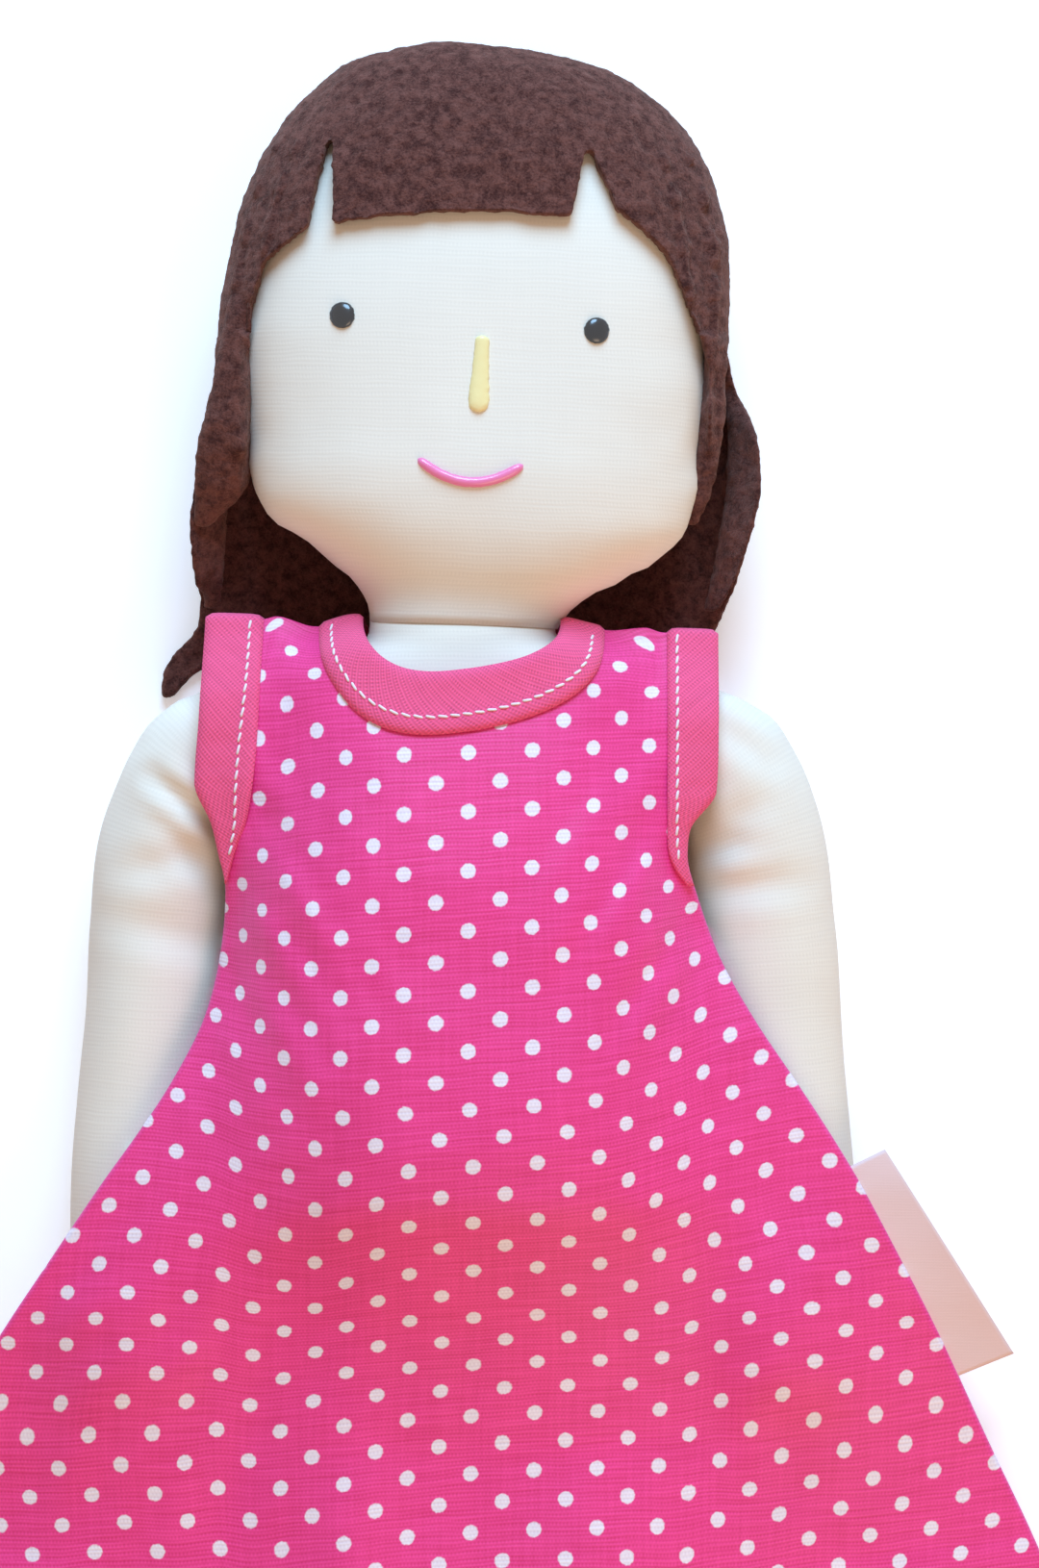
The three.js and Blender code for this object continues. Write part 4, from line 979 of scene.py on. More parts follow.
def stitch_row(name, line):
    """Stitches along a line of places and heights, as one mesh."""
    line = np.asarray(line)
    length = np.concatenate([[0], np.cumsum(np.linalg.norm(np.diff(line, axis=0), axis=1))])
    points, faces = [], []
    sides, steps = 8, 8
    for start in np.arange(0.1 * STITCH_PITCH, length[-1] - STITCH_LENGTH, STITCH_PITCH):
        t = np.linspace(0, 1, steps + 1)
        where = start + t * STITCH_LENGTH
        middle = np.stack([np.interp(where, length, line[:, k]) for k in range(3)], axis=1)
        bow = 1.25 * np.sin(np.pi * t) ** 0.6 - 0.7
        middle[:, 2] += np.sign(line[0, 3]) * THREAD_RADIUS * bow
        along = np.gradient(middle, axis=0)
        along /= np.linalg.norm(along, axis=1)[:, None]
        across = np.cross(along, (0, 0, 1))
        across /= np.linalg.norm(across, axis=1)[:, None]
        middle += across * (STITCH_SLANT * STITCH_LENGTH * (t - 0.5))[:, None]
        lift = np.cross(across, along)
        size = THREAD_RADIUS * np.sqrt(np.clip(1 - (2 * t - 1) ** 6, 0.05, 1))
        base = len(points)
        for k in range(steps + 1):
            for s in range(sides):
                angle = 2 * np.pi * s / sides
                rim = math.cos(angle) * across[k] + math.sin(angle) * lift[k]
                points.append(middle[k] + size[k] * rim)
        for k in range(steps):
            for s in range(sides):
                a, b = base + k * sides + s, base + k * sides + (s + 1) % sides
                faces.append((a, b, b + sides, a + sides))
        faces.append(tuple(base + s for s in reversed(range(sides))))
        faces.append(tuple(base + steps * sides + s for s in range(sides)))
    return facing_out(add_piece(name, points, faces))


def stitch_line(places, face, up):
    """Places on a binding's face, with the side that the stitches show on."""
    x, y = np.array(places).T
    z = face(x, y) + up * BINDING_THICKNESS * 1.05
    return np.stack([x, y, z, np.full(len(x), up)], axis=1)


NECK_STITCH_SHARE = 0.72        # the row's place between the binding's inner and outer edge


def neck_line(depth):
    """Places along the half of the neck binding that has this depth."""
    turns = np.pi * np.linspace(1, 2, 120)
    return [neck_place(NECK_STITCH_SHARE, depth, angle) for angle in turns]


neck_stitches = [
    stitch_row("neck_front_stitches", stitch_line(neck_line(FRONT_NECK_DEPTH), front_face, 1)),
    stitch_row("neck_back_stitches", stitch_line(neck_line(BACK_NECK_DEPTH), back_face, -1)),
]
armhole_stitches = {}
for side, word in WORD.items():
    places = [(side * sum(armhole_strips[side](s)), SHOULDER_RISE - s * ARMHOLE_DEPTH)
              for s in np.linspace(0, 0.93, 70)]
    armhole_stitches[side] = [
        stitch_row(f"{word}_armhole_front_stitches", stitch_line(places, front_face, 1)),
        stitch_row(f"{word}_armhole_back_stitches", stitch_line(places, back_face, -1)),
    ]
print("rows of stitches:", len(neck_stitches) + 2 * len(armhole_stitches))

# %% [markdown]
# ### The line of the shoulders
# The doll's left shoulder lies a little higher than its right one, and the shoulder seams dip
# between the two bindings, because the collar stands up against the neck. All the pieces of
# the dress get that same shift, so they stay together.

# %% The line of the shoulders
SHOULDER_TILT = -0.033          # how much the shoulders fall for each unit across
ARMHOLE_STEP = 1.0 * MM         # the seam is this much lower under the armhole bindings
# By side: the seam's rise beside the neck, and its dip between the bindings
SEAM_WAVES = {-1: (0.0, 2.2 * MM), 1: (0.9 * MM, 1.0 * MM)}


def tilt_shoulders(piece):
    """Gives a piece of the dress the slope and the waves of the shoulder seams."""
    places = own_places(piece)
    x, y = places[:, 0], places[:, 1]
    tilt = SHOULDER_TILT * x * (1 - smooth_step(-y, 0, 70 * MM))
    beside = np.abs(x)
    rise, dip = np.where(x[:, None] < 0, SEAM_WAVES[-1], SEAM_WAVES[1]).T
    wave = (rise * hump(beside, 19 * MM, 5 * MM) - dip * hump(beside, 30.5 * MM, 5.5 * MM)
            - ARMHOLE_STEP * smooth_step(beside, 38 * MM, 42 * MM))
    wave *= 1 - smooth_step(-y, 0, 16 * MM)
    move(piece, up=tilt + wave)


sewn_pieces = (dress_front, *dress_backs.values(), neck_binding, *neck_stitches,
               *armhole_bindings.values(), *armhole_stitches[-1], *armhole_stitches[1])
for piece in sewn_pieces:
    tilt_shoulders(piece)
print("pieces of the dress:", len(sewn_pieces))

# %% [markdown]
# ## The hair
# The hair is one kind of thick fleece, cut in two pieces: a cap with a fringe that frames the
# face, and a long piece behind. The frame's solids give both cuts. A voxel remesh turns each
# into an even net of small faces, which is snapped onto the smooth head shape to lose the
# facets, and then roughened into the fleece's small clumps.

# %% The fleece
FLEECE_VOXEL = 0.7 * MM


def lock(path):
    """A closed lock of fleece along rows of x, y, z, half width and half thickness, in mm."""
    line = curve_through([(n, *row) for n, row in enumerate(path)])
    x, y, z, wide, thick = line(np.linspace(0, len(path) - 1, 40)).T[:, :, None] * MM
    angle = 2 * np.pi * np.arange(24) / 24
    rings = [x + wide * np.cos(angle), y + 0 * angle, z + thick * np.sin(angle)]
    return skin("lock", np.stack(rings, axis=2))


def cutter(outline):
    """A block to cut with, over an outline in mm."""
    rings = [[(x * MM, y * MM, z) for x, y in outline] for z in (SEAM_Z, 3 * SEAM_Z)]
    return facing_out(skin("cutter", rings))


def remeshed(name, node, smoothing, added=(), cut=None):
    """A copy of a CAD solid, with locks added and a notch cut, as an even net that is eased."""
    both = bmesh.new()
    both.from_mesh(frame["nodes"][node].data)
    for part in added:
        both.from_mesh(part.data)
        bpy.data.objects.remove(part)
    joined = bpy.data.meshes.new(name)
    both.to_mesh(joined)
    both.free()
    piece = bpy.data.objects.new(name, joined)
    scene.collection.objects.link(piece)
    for step in range(1 if cut is None else 2):
        net = piece.modifiers.new("net", "REMESH")
        net.mode, net.voxel_size = "VOXEL", FLEECE_VOXEL
        if cut is not None and step == 0:
            notch = piece.modifiers.new("notch", "BOOLEAN")
            notch.operation, notch.solver, notch.object = "DIFFERENCE", "EXACT", cut
    ease = piece.modifiers.new("ease", "SMOOTH")
    ease.factor, ease.iterations = 0.5, smoothing
    depsgraph = bpy.context.evaluated_depsgraph_get()
    mesh = bpy.data.meshes.new_from_object(piece.evaluated_get(depsgraph))
    piece.modifiers.clear()
    if cut is not None:
        bpy.data.objects.remove(cut)
    piece.data = mesh
    mesh.name = name
    mesh.shade_smooth()
    return piece


# %% [markdown]
# ### Onto the head
# Fleece has no facets, and it follows the head under it. So the cap's outer and inner sides are
# snapped onto the head's own smooth shape, grown by the thickness of the fleece.

# %% Onto the head
LOCKS_TOP = 60 * MM             # below this height the side locks hang free of the head


def head_surface(margin):
    """The smooth head grown by a margin, to snap other pieces to."""
    helper = skin("helper", head_rings(margin, 90, 120))
    co = vertex_values(helper)
    tree = BVHTree.FromPolygons(co.tolist(), [tuple(p.vertices) for p in helper.data.polygons])
    bpy.data.objects.remove(helper)
    return tree


outer_head = head_surface(FLEECE + GAP)
inner_head = head_surface(2 * GAP)


def snap_to_head(piece, reach):
    """Moves what lies near the smooth outer or inner head shape onto it, above the locks."""
    places = vertex_values(piece)
    above = own_places(piece)[:, 1] > LOCKS_TOP
    for n in np.nonzero(above)[0]:
        place = places[n]
        for tree in (outer_head, inner_head):
            near, _, _, distance = tree.find_nearest(Vector(place))
            if near is not None and distance < reach:
                places[n] = near
                break
    set_places(piece, places)


def roughen(piece, seed):
    """Raises the nap of the fleece."""
    places = vertex_values(piece)
    nap = 0.26 * MM * noise_over(places, 2.2 * MM, seed)
    nap += 0.2 * MM * noise_over(places, 1.1 * MM, seed)
    push(piece, nap + 0.35 * MM * noise_over(places, 8 * MM, seed + 1))


# %% [markdown]
# ### The hair's edge
# Fleece is cut with scissors by eye, so the edge that it draws round the face and on the ground
# isn't even. Two tables move the edge of each piece in or out round the head. They were set
# from where it lay apart from the photographed one.

# %% The hair's edge
# Round the head in degrees, from its right side: the edge's distance beyond the solid's, in mm
HAIR_MIDDLE = np.array((3 * MM, 62 * MM))
CAP_EDGE = [
    (-90, 0), (-15, 0), (-8, 1.0), (-3, 1.5), (3, 1.6), (11, 2.2), (19, 2.8), (27, 2.8), (35, 3.2),
    (43, 2.8), (51, 1.8), (59, 0.8), (67, 0), (75, -0.6), (83, -0.5), (91, 0), (99, 0.6),
    (107, 0.5), (115, 1.1), (123, 0.7), (163, 0.7), (171, 1.2), (179, 1.7), (187, 2.2),
    (195, 2.7), (203, 3.4), (211, 3.4), (270, 3.4),
]
BACK_EDGE = [
    (-90, 0), (-45, -0.3), (-37, 0.6), (-29, 1.4), (-21, 0.4), (-13, -1.6), (-5, -2.2), (3, -2.2),
    (90, -1), (171, -1.0), (179, -0.6), (187, -0.3), (195, 0.3), (203, 2.0), (211, 2.2),
    (219, 3.0), (224, 3.6), (228, 3.3), (233, 1.2), (270, 1.0),
]


def fit_edge(piece, table):
    """Moves the hair's edge by a table, and tells each vertex's angle and distance inside it."""
    away = own_places(piece)[:, :2] - HAIR_MIDDLE
    angle = np.degrees(np.arctan2(away[:, 1], away[:, 0]))
    angle = np.where(angle < -90, angle + 360, angle)
    reach = np.hypot(*away.T)
    turns = np.arange(-90, 271, 4)
    edge = [reach[np.abs(angle - turn) < 4].max(initial=MM) for turn in turns]
    near = smooth_step(reach / np.interp(angle, turns, edge), 0.86, 1)
    shift = curve_through(table)(angle)[:, 0] * MM * near
    places = vertex_values(piece)
    places[:, :2] += away / reach[:, None] * shift[:, None]
    set_places(piece, places)
    return angle, np.interp(angle, turns, edge) - reach


# %% [markdown]
# ### The cap with its fringe and side locks
# The cap ends in a straight fringe and in a lock on each side. The locks are tapered sweeps that
# are added before the remesh, so they grow together with the cap. A notch parts the fringe from
# the left lock, where the skin shows through.

# %% The cap with its fringe and side locks
# Across and above the neck seam: the notch between the fringe and the left side lock, in mm
LEFT_NOTCH = [(-25.6, 104), (-27.4, 99.5), (-28.9, 94.9), (-30, 90.5), (-31.4, 82.3), (-31.4, 75),
              (-26.4, 75), (-26.2, 99)]
# Across, above the neck seam, over the ground, half width and half thickness of a lock, in mm
LEFT_LOCK = [
    (-45.8, 66, 34.5, 1.6, 1.6), (-46.3, 58, 34.2, 2.2, 2.2), (-46.9, 50, 33.8, 3.0, 2.6),
    (-47.6, 43, 33.2, 4.0, 2.9), (-48.1, 37, 31.6, 4.8, 3.0), (-48.5, 31.5, 29.2, 5.0, 2.8),
    (-49.4, 28, 27.2, 4.2, 2.4), (-50.6, 25, 25.2, 2.8, 1.8), (-51.6, 22.5, 23.5, 1.4, 1.2),
]
RIGHT_LOCK = [(52.0, 60, 31.0, 1.5, 1.5), (52.5, 54, 30.5, 2.2, 2.2), (52.5, 48, 29.8, 2.7, 2.5),
              (52.0, 42, 29.0, 2.9, 2.6), (51.2, 36, 28.0, 2.8, 2.5), (50.3, 30, 26.8, 2.6, 2.2),
              (49.0, 24.5, 25.4, 2.1, 1.8), (47.9, 21, 24.6, 1.1, 0.9)]


def drop_fringe(piece):
    """Lengthens the fringe a little."""
    places = own_places(piece)
    x, y = np.abs(places[:, 0]), places[:, 1]
    share = (1 - smooth_step(y, 86 * MM, 97 * MM)) * (1 - smooth_step(x, 27.5 * MM, 29.5 * MM))
    share *= smooth_step(y, 70 * MM, 78 * MM)
    move(piece, up=-1.7 * MM * share)


def part_from_face(piece):
    """Sinks the left lock's inner side, so that a dark gap parts it from the face."""
    places = own_places(piece)
    x, y = places[:, 0], places[:, 1]
    inner = (1 - smooth_step(-x, 43.6 * MM, 46.6 * MM)) * smooth_step(-x, 38 * MM, 42 * MM)
    inner *= 1 - smooth_step(y, 54 * MM, 70 * MM)
    move(piece, out=-4.5 * MM * inner * smooth_step(places[:, 2], 24 * MM, 30 * MM))


side_locks = [lock(LEFT_LOCK), lock(RIGHT_LOCK)]
hair_front = remeshed("hair_front_fleece", "hair_front", 8, side_locks, cutter(LEFT_NOTCH))
snap_to_head(hair_front, 0.8 * MM)
fit_edge(hair_front, CAP_EDGE)
drop_fringe(hair_front)
part_from_face(hair_front)
roughen(hair_front, 41)
print("cap:", len(hair_front.data.polygons), "faces")

# %% [markdown]
# ### The long hair
# The long piece lies under the head and out on the ground to both sides. Its edge stands up a
# little as a rim, because the head presses a hollow beside it. Two more locks make that rim,
# and the lower left corner runs out to a point.

# %% The long hair
LEFT_RIM = [(-50.4, 42, 15, 1.2, 1.2), (-51.6, 34, 18.5, 2.4, 2.0), (-52.2, 26, 20, 2.9, 2.3),
            (-52.4, 18, 20, 2.8, 2.2), (-52.4, 10, 17.5, 2.4, 2.0), (-52.6, 4, 13, 1.8, 1.5)]
RIGHT_RIM = [(56.2, 52, 15.5, 1.5, 1.5), (58, 44, 18.5, 2.6, 2.2), (58.6, 36, 19.5, 3.2, 2.5),
             (58.2, 27, 19.5, 3.3, 2.5), (56.8, 18, 18.5, 3.1, 2.4),
             (54.6, 9, 15.5, 2.7, 2.1), (52.4, 3, 12, 1.9, 1.7)]

rim_locks = [lock(LEFT_RIM), lock(RIGHT_RIM)]
hair_back = remeshed("hair_back_fleece", "hair_back", 10, rim_locks)
snap_to_head(hair_back, 0.5 * MM)


def raise_rim(piece, angle, inside):
    """Lifts the long hair's edge, which stands up beside the hollow under the head."""
    low = smooth_step(angle, 192, 204) + 1 - smooth_step(angle, -22, -14)
    top = smooth_step(own_places(piece)[:, 2], 5 * MM, 9 * MM)
    lift = 5 * MM * hump(inside, 2.2 * MM, 2.2 * MM)
    lift -= 2.5 * MM * smooth_step(inside, 5 * MM, 11 * MM)
    move(piece, out=lift * low * top)


raise_rim(hair_back, *fit_edge(hair_back, BACK_EDGE))


def draw_tip(piece):
    """Draws the long hair's lower left corner out to a point."""
    places = own_places(piece)
    x, y = places[:, 0], places[:, 1]
    corner = smooth_step(-x, 44 * MM, 54 * MM) * smooth_step(-y, -12 * MM, 13 * MM)
    slope = (1 - smooth_step(-x, 53 * MM, 61 * MM)) * smooth_step(-y, 3 * MM, 13 * MM)
    slope *= smooth_step(-x, 30 * MM, 44 * MM)
    move(piece, across=-2.2 * MM * corner, up=5 * MM * slope)


draw_tip(hair_back)
roughen(hair_back, 45)
press(hair_back)
print("long hair:", len(hair_back.data.polygons), "faces")

# %% [markdown]
# ## The face
# The eyes, nose and mouth are drawn with thick fabric paint that dries raised and glossy.
# Each one is a bead of paint: rounded above, with an uneven edge, and sunk a little in the
# weave below, so it reads as paint and not as a bead glued on.

# %% Painted features
EYE_RADIUS = 2.6 * MM
EYE_ASIDE = 26.2 * MM           # from the face's middle line
EYE_RISE = 63 * MM              # above the neck seam, where the features' lean turns them
EYE_DROP = 1.3 * MM             # how far the eyes lie below that
FEATURE_TILT = math.radians(-3.5)
NOSE_LENGTH = 15.6 * MM
MOUTH_REACH = 10.8 * MM         # to each side
MOUTH_BOW = 4.2 * MM
PAINT_RISE = 1.1 * MM
PAINT_SINK = 0.35 * MM          # how far a bead of paint reaches into the weave
face_tree = BVHTree.FromObject(head, bpy.context.evaluated_depsgraph_get())


def face_height(x, y):
    """The height of the face's surface at a place."""
    start = Vector((x + MIDDLE_X, y + SEAM_Y, RAY_START))
    return face_tree.ray_cast(start, Vector((0, 0, -1)))[0].z


def paint_blob(name, places, radii, rise, wobble, seed):
    """A bead of paint along places on the face, with a half round section."""
    places, radii = np.asarray(places), np.asarray(radii)
    along = np.gradient(places, axis=0)
    along /= np.maximum(np.linalg.norm(along, axis=1), 1e-9)[:, None]
    sides = 24
    rings = []
    for n, (place, radius) in enumerate(zip(places, radii)):
        ring = []
        for s in range(sides):
            angle = 2 * np.pi * s / sides
            edge = 1 + wobble * noise.noise(Vector((n * 0.35, s * 0.6, seed)))
            side = radius * math.cos(angle) * edge
            x, y = place[0] - along[n, 1] * side, place[1] + along[n, 0] * side
            up = math.sin(angle)
            lift = up * (rise[n] if up > 0 else PAINT_SINK)
            ring.append((x, y, face_height(x, y) + lift))
        rings.append(ring)
    return facing_out(skin(name, rings))


def feature_place(x, y):
    """Turns a point of the face about the middle of the eyes, with the lean of the features."""
    c, s = math.cos(FEATURE_TILT), math.sin(FEATURE_TILT)
    shift = -math.sin(HEAD_LEAN) * EYE_RISE
    return x * c - (y - EYE_RISE) * s + shift, x * s + (y - EYE_RISE) * c + EYE_RISE


def make_eye(side):
    """A round dot of paint, drawn upwards."""
    x, y = feature_place(side * EYE_ASIDE - 0.4 * MM, EYE_RISE - EYE_DROP)
    t = np.linspace(-1, 1, 25)
    bow = np.sqrt(np.maximum(1 - np.abs(t) ** 2.1, 0.002))
    places = [(x + 0.12 * EYE_RADIUS * k * side, y + 1.04 * EYE_RADIUS * k) for k in t]
    radii, rise = EYE_RADIUS * bow, 1.3 * MM * bow**0.8
    return paint_blob(f"{WORD[side]}_eye_paint", places, radii, rise, 0.09, 50 + side)


def make_nose():
    """A long drop of paint, which is widest near its lower end."""
    t = np.linspace(0, 1, 40)
    shares = curve_through([(0, 0.2), (0.03, 0.7), (0.12, 1), (0.3, 0.93), (0.5, 0.82),
                            (0.75, 0.72), (0.94, 0.68), (0.98, 0.55), (1, 0.2)])(t)[:, 0]
    places = [feature_place(2.5 * MM, 43.4 * MM + k * NOSE_LENGTH) for k in t]
    radii, rise = 2.15 * MM * shares, PAINT_RISE * (0.35 + 0.65 * shares)
    return paint_blob("nose_paint", places, radii, rise, 0.12, 60)


def make_mouth():
    """A thin line of paint, bowed to a smile."""
    t = np.linspace(-1, 1, 60)
    places = [feature_place(1.6 * MM + k * MOUTH_REACH, 33.1 * MM + MOUTH_BOW * (k * k - 1))
              for k in t]
    body = np.sqrt(np.maximum(1 - np.abs(t) ** 14, 0.01))
    return paint_blob("mouth_paint", places, 1.05 * MM * body, PAINT_RISE * body, 0.1, 70)


eyes = {side: make_eye(side) for side in (-1, 1)}
nose, mouth = make_nose(), make_mouth()
print("paint:", sum(len(bead.data.polygons) for bead in (*eyes.values(), nose, mouth)), "faces")

# %% [markdown]
# ## The label and the back opening
# A folded satin ribbon is caught in the right side seam, and it stays bare. Behind, the dress
# opens along a slit to be pulled over the head, with a placket and one press stud.

# %% Label and fastening
LABEL_CORNERS = [(1003, 1440), (885, 1217), (921, 1196), (1060, 1414)]   # in the photograph
SEAM_ALLOWANCE = 1.5 * MM       # how far the ribbon runs into the side seam
RIBBON_THICKNESS = 0.6 * MM     # both layers of the folded ribbon


def share_grid(rows, columns):
    """Shares from 0 to 1, along the rows and across them."""
    return np.meshgrid(np.linspace(0, 1, rows), np.linspace(0, 1, columns), indexing="ij")


def make_label():
    """The folded ribbon that sticks out of the side seam and curls a little."""
    v, u = share_grid(60, 18)
    low_in, high_in, high_out, low_out = (np.array(at_pixel(*pixel)) for pixel in LABEL_CORNERS)
    inner = low_in + (high_in - low_in) * v[..., None] - (SEAM_ALLOWANCE, 0)
    outer = low_out + (high_out - low_out) * v[..., None]
    place = inner + (outer - inner) * u[..., None]
    x, y = place[..., 0], place[..., 1]
    edge = dress_edge(SHOULDER_RISE - y, np.ones_like(y)) - SEAM_ALLOWANCE
    curl = 1.2 * MM * np.sin(np.pi * v) * u**2 - 1.6 * MM * u
    top = read_raster(front_top, edge, y) - 0.9 * MM + curl
    under = top - RIBBON_THICKNESS
    return sheet_mesh("side_label_ribbon", x, y, top, under, np.zeros(x.shape, bool), place)


label = make_label()
PLACKET_WIDTH = 12 * MM
PLACKET_LENGTH = 52 * MM
PLACKET_TOP = -8.7 * MM         # below the neck seam
PLACKET_LEFT = -1.2 * MM        # it starts a little beyond the slit
PLACKET_LIFT = 0.6 * MM         # above the back panels' inner face


def make_placket():
    """The strip of cloth inside the back opening."""
    v, u = share_grid(50, 10)
    x = PLACKET_LEFT + u * PLACKET_WIDTH
    y = PLACKET_TOP - (1 - v) * PLACKET_LENGTH
    under = read_raster(back_under, x, y) + COTTON + PLACKET_LIFT
    uncut, uv = np.zeros(x.shape, bool), np.stack([x, y], axis=2)
    return sheet_mesh("back_placket_cloth", x, y, under + COTTON, under, uncut, uv)


placket = make_placket()


# From the cloth outwards: share of a stud's radius and of its height
STUD_PROFILE = [(0.04, 0.0), (0.9, 0.0), (1.0, 0.12), (1.0, 0.3), (0.93, 0.42), (0.74, 0.5),
                (0.66, 0.66), (0.6, 0.9), (0.5, 1.0), (0.32, 0.98), (0.26, 0.8), (0.04, 0.78)]


def make_stud(name, node, facing):
    """A moulded half of a press stud, with a rim and a raised middle, on its solid's place."""
    low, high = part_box(node)
    middle = (low + high) / 2
    radius, rise = (high.x - low.x) / 2, high.z - low.z
    sides = 48
    start = low.z if facing > 0 else high.z
    rings = []
    for share, lift in STUD_PROFILE:
        angle = 2 * np.pi * np.arange(sides) / sides
        rings.append(np.stack([middle.x - MIDDLE_X + radius * share * np.cos(angle),
                               middle.y - SEAM_Y + radius * share * np.sin(angle),
                               np.full(sides, start + facing * rise * lift)], axis=1))
    return facing_out(skin(name, rings))


snap_socket = make_stud("snap_socket_disc", "snap_socket", 1)
snap_cap = make_stud("snap_cap_disc", "snap_cap", -1)
print("label:", len(label.data.polygons), "faces")

# %% [markdown]
# ## Shared effects
# Cotton, binding and label are all woven, and all cloth is a little uneven in colour. Each of
# these effects is a node group, built once, so that every cloth gets the same effect with its
# own values.


# %% Node helpers
def new_group(name, inputs, outputs):
    """A shader node group with named float or vector sockets."""
    group = bpy.data.node_groups.new(name, "ShaderNodeTree")
    for title, kind, value in inputs:
        socket = group.interface.new_socket(title, in_out="INPUT", socket_type=kind)
        if value is not None:
            socket.default_value = value
    for title, kind in outputs:
        group.interface.new_socket(title, in_out="OUTPUT", socket_type=kind)
    return group, group.nodes.new("NodeGroupInput"), group.nodes.new("NodeGroupOutput")


def maths(tree, operation, *values):
    """A Math node whose inputs are sockets or numbers, and its result."""
    node = tree.nodes.new("ShaderNodeMath")
    node.operation = operation
    for n, value in enumerate(values):
        if isinstance(value, (int, float)):
            node.inputs[n].default_value = value
        else:
            tree.links.new(value, node.inputs[n])
    return node.outputs[0]


def scaled(tree, vector, across, along):
    """A vector scaled by numbers, or by sockets, across and along."""
    split = tree.nodes.new("ShaderNodeSeparateXYZ")
    tree.links.new(vector, split.inputs[0])
    joined = tree.nodes.new("ShaderNodeCombineXYZ")
    for n, factor in enumerate((across, along)):
        tree.links.new(maths(tree, "MULTIPLY", split.outputs[n], factor), joined.inputs[n])
    return joined.outputs[0]


def noise_node(tree, vector, scale, detail=2.0, roughness=0.5):
    """A Noise Texture node along a vector, and its value."""
    node = tree.nodes.new("ShaderNodeTexNoise")
    node.inputs["Scale"].default_value = scale
    node.inputs["Detail"].default_value = detail
    node.inputs["Roughness"].default_value = roughness
    tree.links.new(vector, node.inputs["Vector"])
    return node.outputs["Fac"]


def in_range(tree, value, low, high, new_low, new_high):
    """A Map Range node: value from low..high to new_low..new_high."""
    node = tree.nodes.new("ShaderNodeMapRange")
    for n, number in enumerate((low, high, new_low, new_high)):
        node.inputs[n + 1].default_value = number
    tree.links.new(value, node.inputs[0])
    return node.outputs[0]


# %% [markdown]
# ### The weave
# A plain weave is two sets of threads that cross over and under each other, with thick and thin
# places. Sine waves give the threads and stretched noise the thick places. The group gives out
# the height for the bump and a second value, the height with the slubs added, which paints shade
# into the valleys between threads and light onto their tops, besides the slubs' own uneven tone.

# %% The weave
weave_group, weave_in, weave_out = new_group(
    "Plain weave",
    [("Vector", "NodeSocketVector", None), ("Ribs per metre", "NodeSocketFloat", 1150.0),
     ("Cross ribs", "NodeSocketFloat", 0.3), ("Slub", "NodeSocketFloat", 0.5)],
    [("Height", "NodeSocketFloat"), ("Relief shade and slub", "NodeSocketFloat")])
ribs = weave_in.outputs["Ribs per metre"]
wander = noise_node(weave_group, weave_in.outputs["Vector"], 90.0, 1.0)
turns = maths(weave_group, "MULTIPLY", ribs, 2 * math.pi)
wave_vector = scaled(weave_group, weave_in.outputs["Vector"], turns, turns)
wave_split = weave_group.nodes.new("ShaderNodeSeparateXYZ")
weave_group.links.new(wave_vector, wave_split.inputs[0])
bend = maths(weave_group, "MULTIPLY", wander, 9.0)
down_wave = maths(weave_group, "ADD", wave_split.outputs[1], bend)
rib = maths(weave_group, "SINE", down_wave)
half_rib = maths(weave_group, "SINE", maths(weave_group, "MULTIPLY", down_wave, 0.5))
across_wave = maths(weave_group, "MULTIPLY_ADD", wave_split.outputs[0], 1.1, bend)
across = maths(weave_group, "SINE", across_wave)
cross_rib = maths(weave_group, "MULTIPLY", across, weave_in.outputs["Cross ribs"])
over_under = maths(weave_group, "MULTIPLY", half_rib, across)
slubs = []
for across_scale, along_scale in ((0.05, 1.1), (1.0, 0.05)):
    scales = [maths(weave_group, "MULTIPLY", ribs, k) for k in (across_scale, along_scale)]
    slub_vector = scaled(weave_group, weave_in.outputs["Vector"], *scales)
    slubs.append(noise_node(weave_group, slub_vector, 1.0, 1.0))
both_slubs = maths(weave_group, "MULTIPLY_ADD", slubs[1], 0.6,
                   maths(weave_group, "MULTIPLY", slubs[0], 1.4))
slub = maths(weave_group, "SUBTRACT", both_slubs, 1.0)
uneven = maths(weave_group, "MULTIPLY", slub, weave_in.outputs["Slub"])
both_ribs = maths(weave_group, "ADD", rib, cross_rib)
height = maths(weave_group, "MULTIPLY_ADD", both_ribs, 0.2,
               maths(weave_group, "MULTIPLY_ADD", over_under, 0.15, 0.5))
weave_group.links.new(maths(weave_group, "ADD", height, uneven), weave_out.inputs["Height"])
# Painted shade: the weave's height darkens the valleys between threads, plus the slubs' real tone
relief_shade_and_slub = maths(weave_group, "MULTIPLY_ADD", uneven, 0.8, height)
weave_group.links.new(relief_shade_and_slub, weave_out.inputs["Relief shade and slub"])
print("group:", weave_group.name)

# %% [markdown]
# ### The unevenness of dye and handling
# No dyed cloth is quite one colour, and what is handled gets darker in places. A broad noise
# makes the colour a little lighter or darker, by an amount that each material sets.

# %% The unevenness of dye and handling
tone_group, tone_in, tone_out = new_group(
    "Uneven tone", [("Vector", "NodeSocketVector", None), ("Amount", "NodeSocketFloat", 0.1)],
    [("Tone", "NodeSocketFloat")])
broad = noise_node(tone_group, tone_in.outputs["Vector"], 28.0, 3.0)
shifted = maths(tone_group, "SUBTRACT", broad, 0.5)
tone = maths(tone_group, "MULTIPLY", shifted, tone_in.outputs["Amount"])
tone_group.links.new(maths(tone_group, "ADD", tone, 1.0), tone_out.inputs["Tone"])
print("group:", tone_group.name)

# %% [markdown]
# ## Materials
# Each finish is a Principled shader with its own colour and the shared effects. Cotton is
# rough with a faint sheen of loose fibres, fleece has a strong one, and paint is glossy.


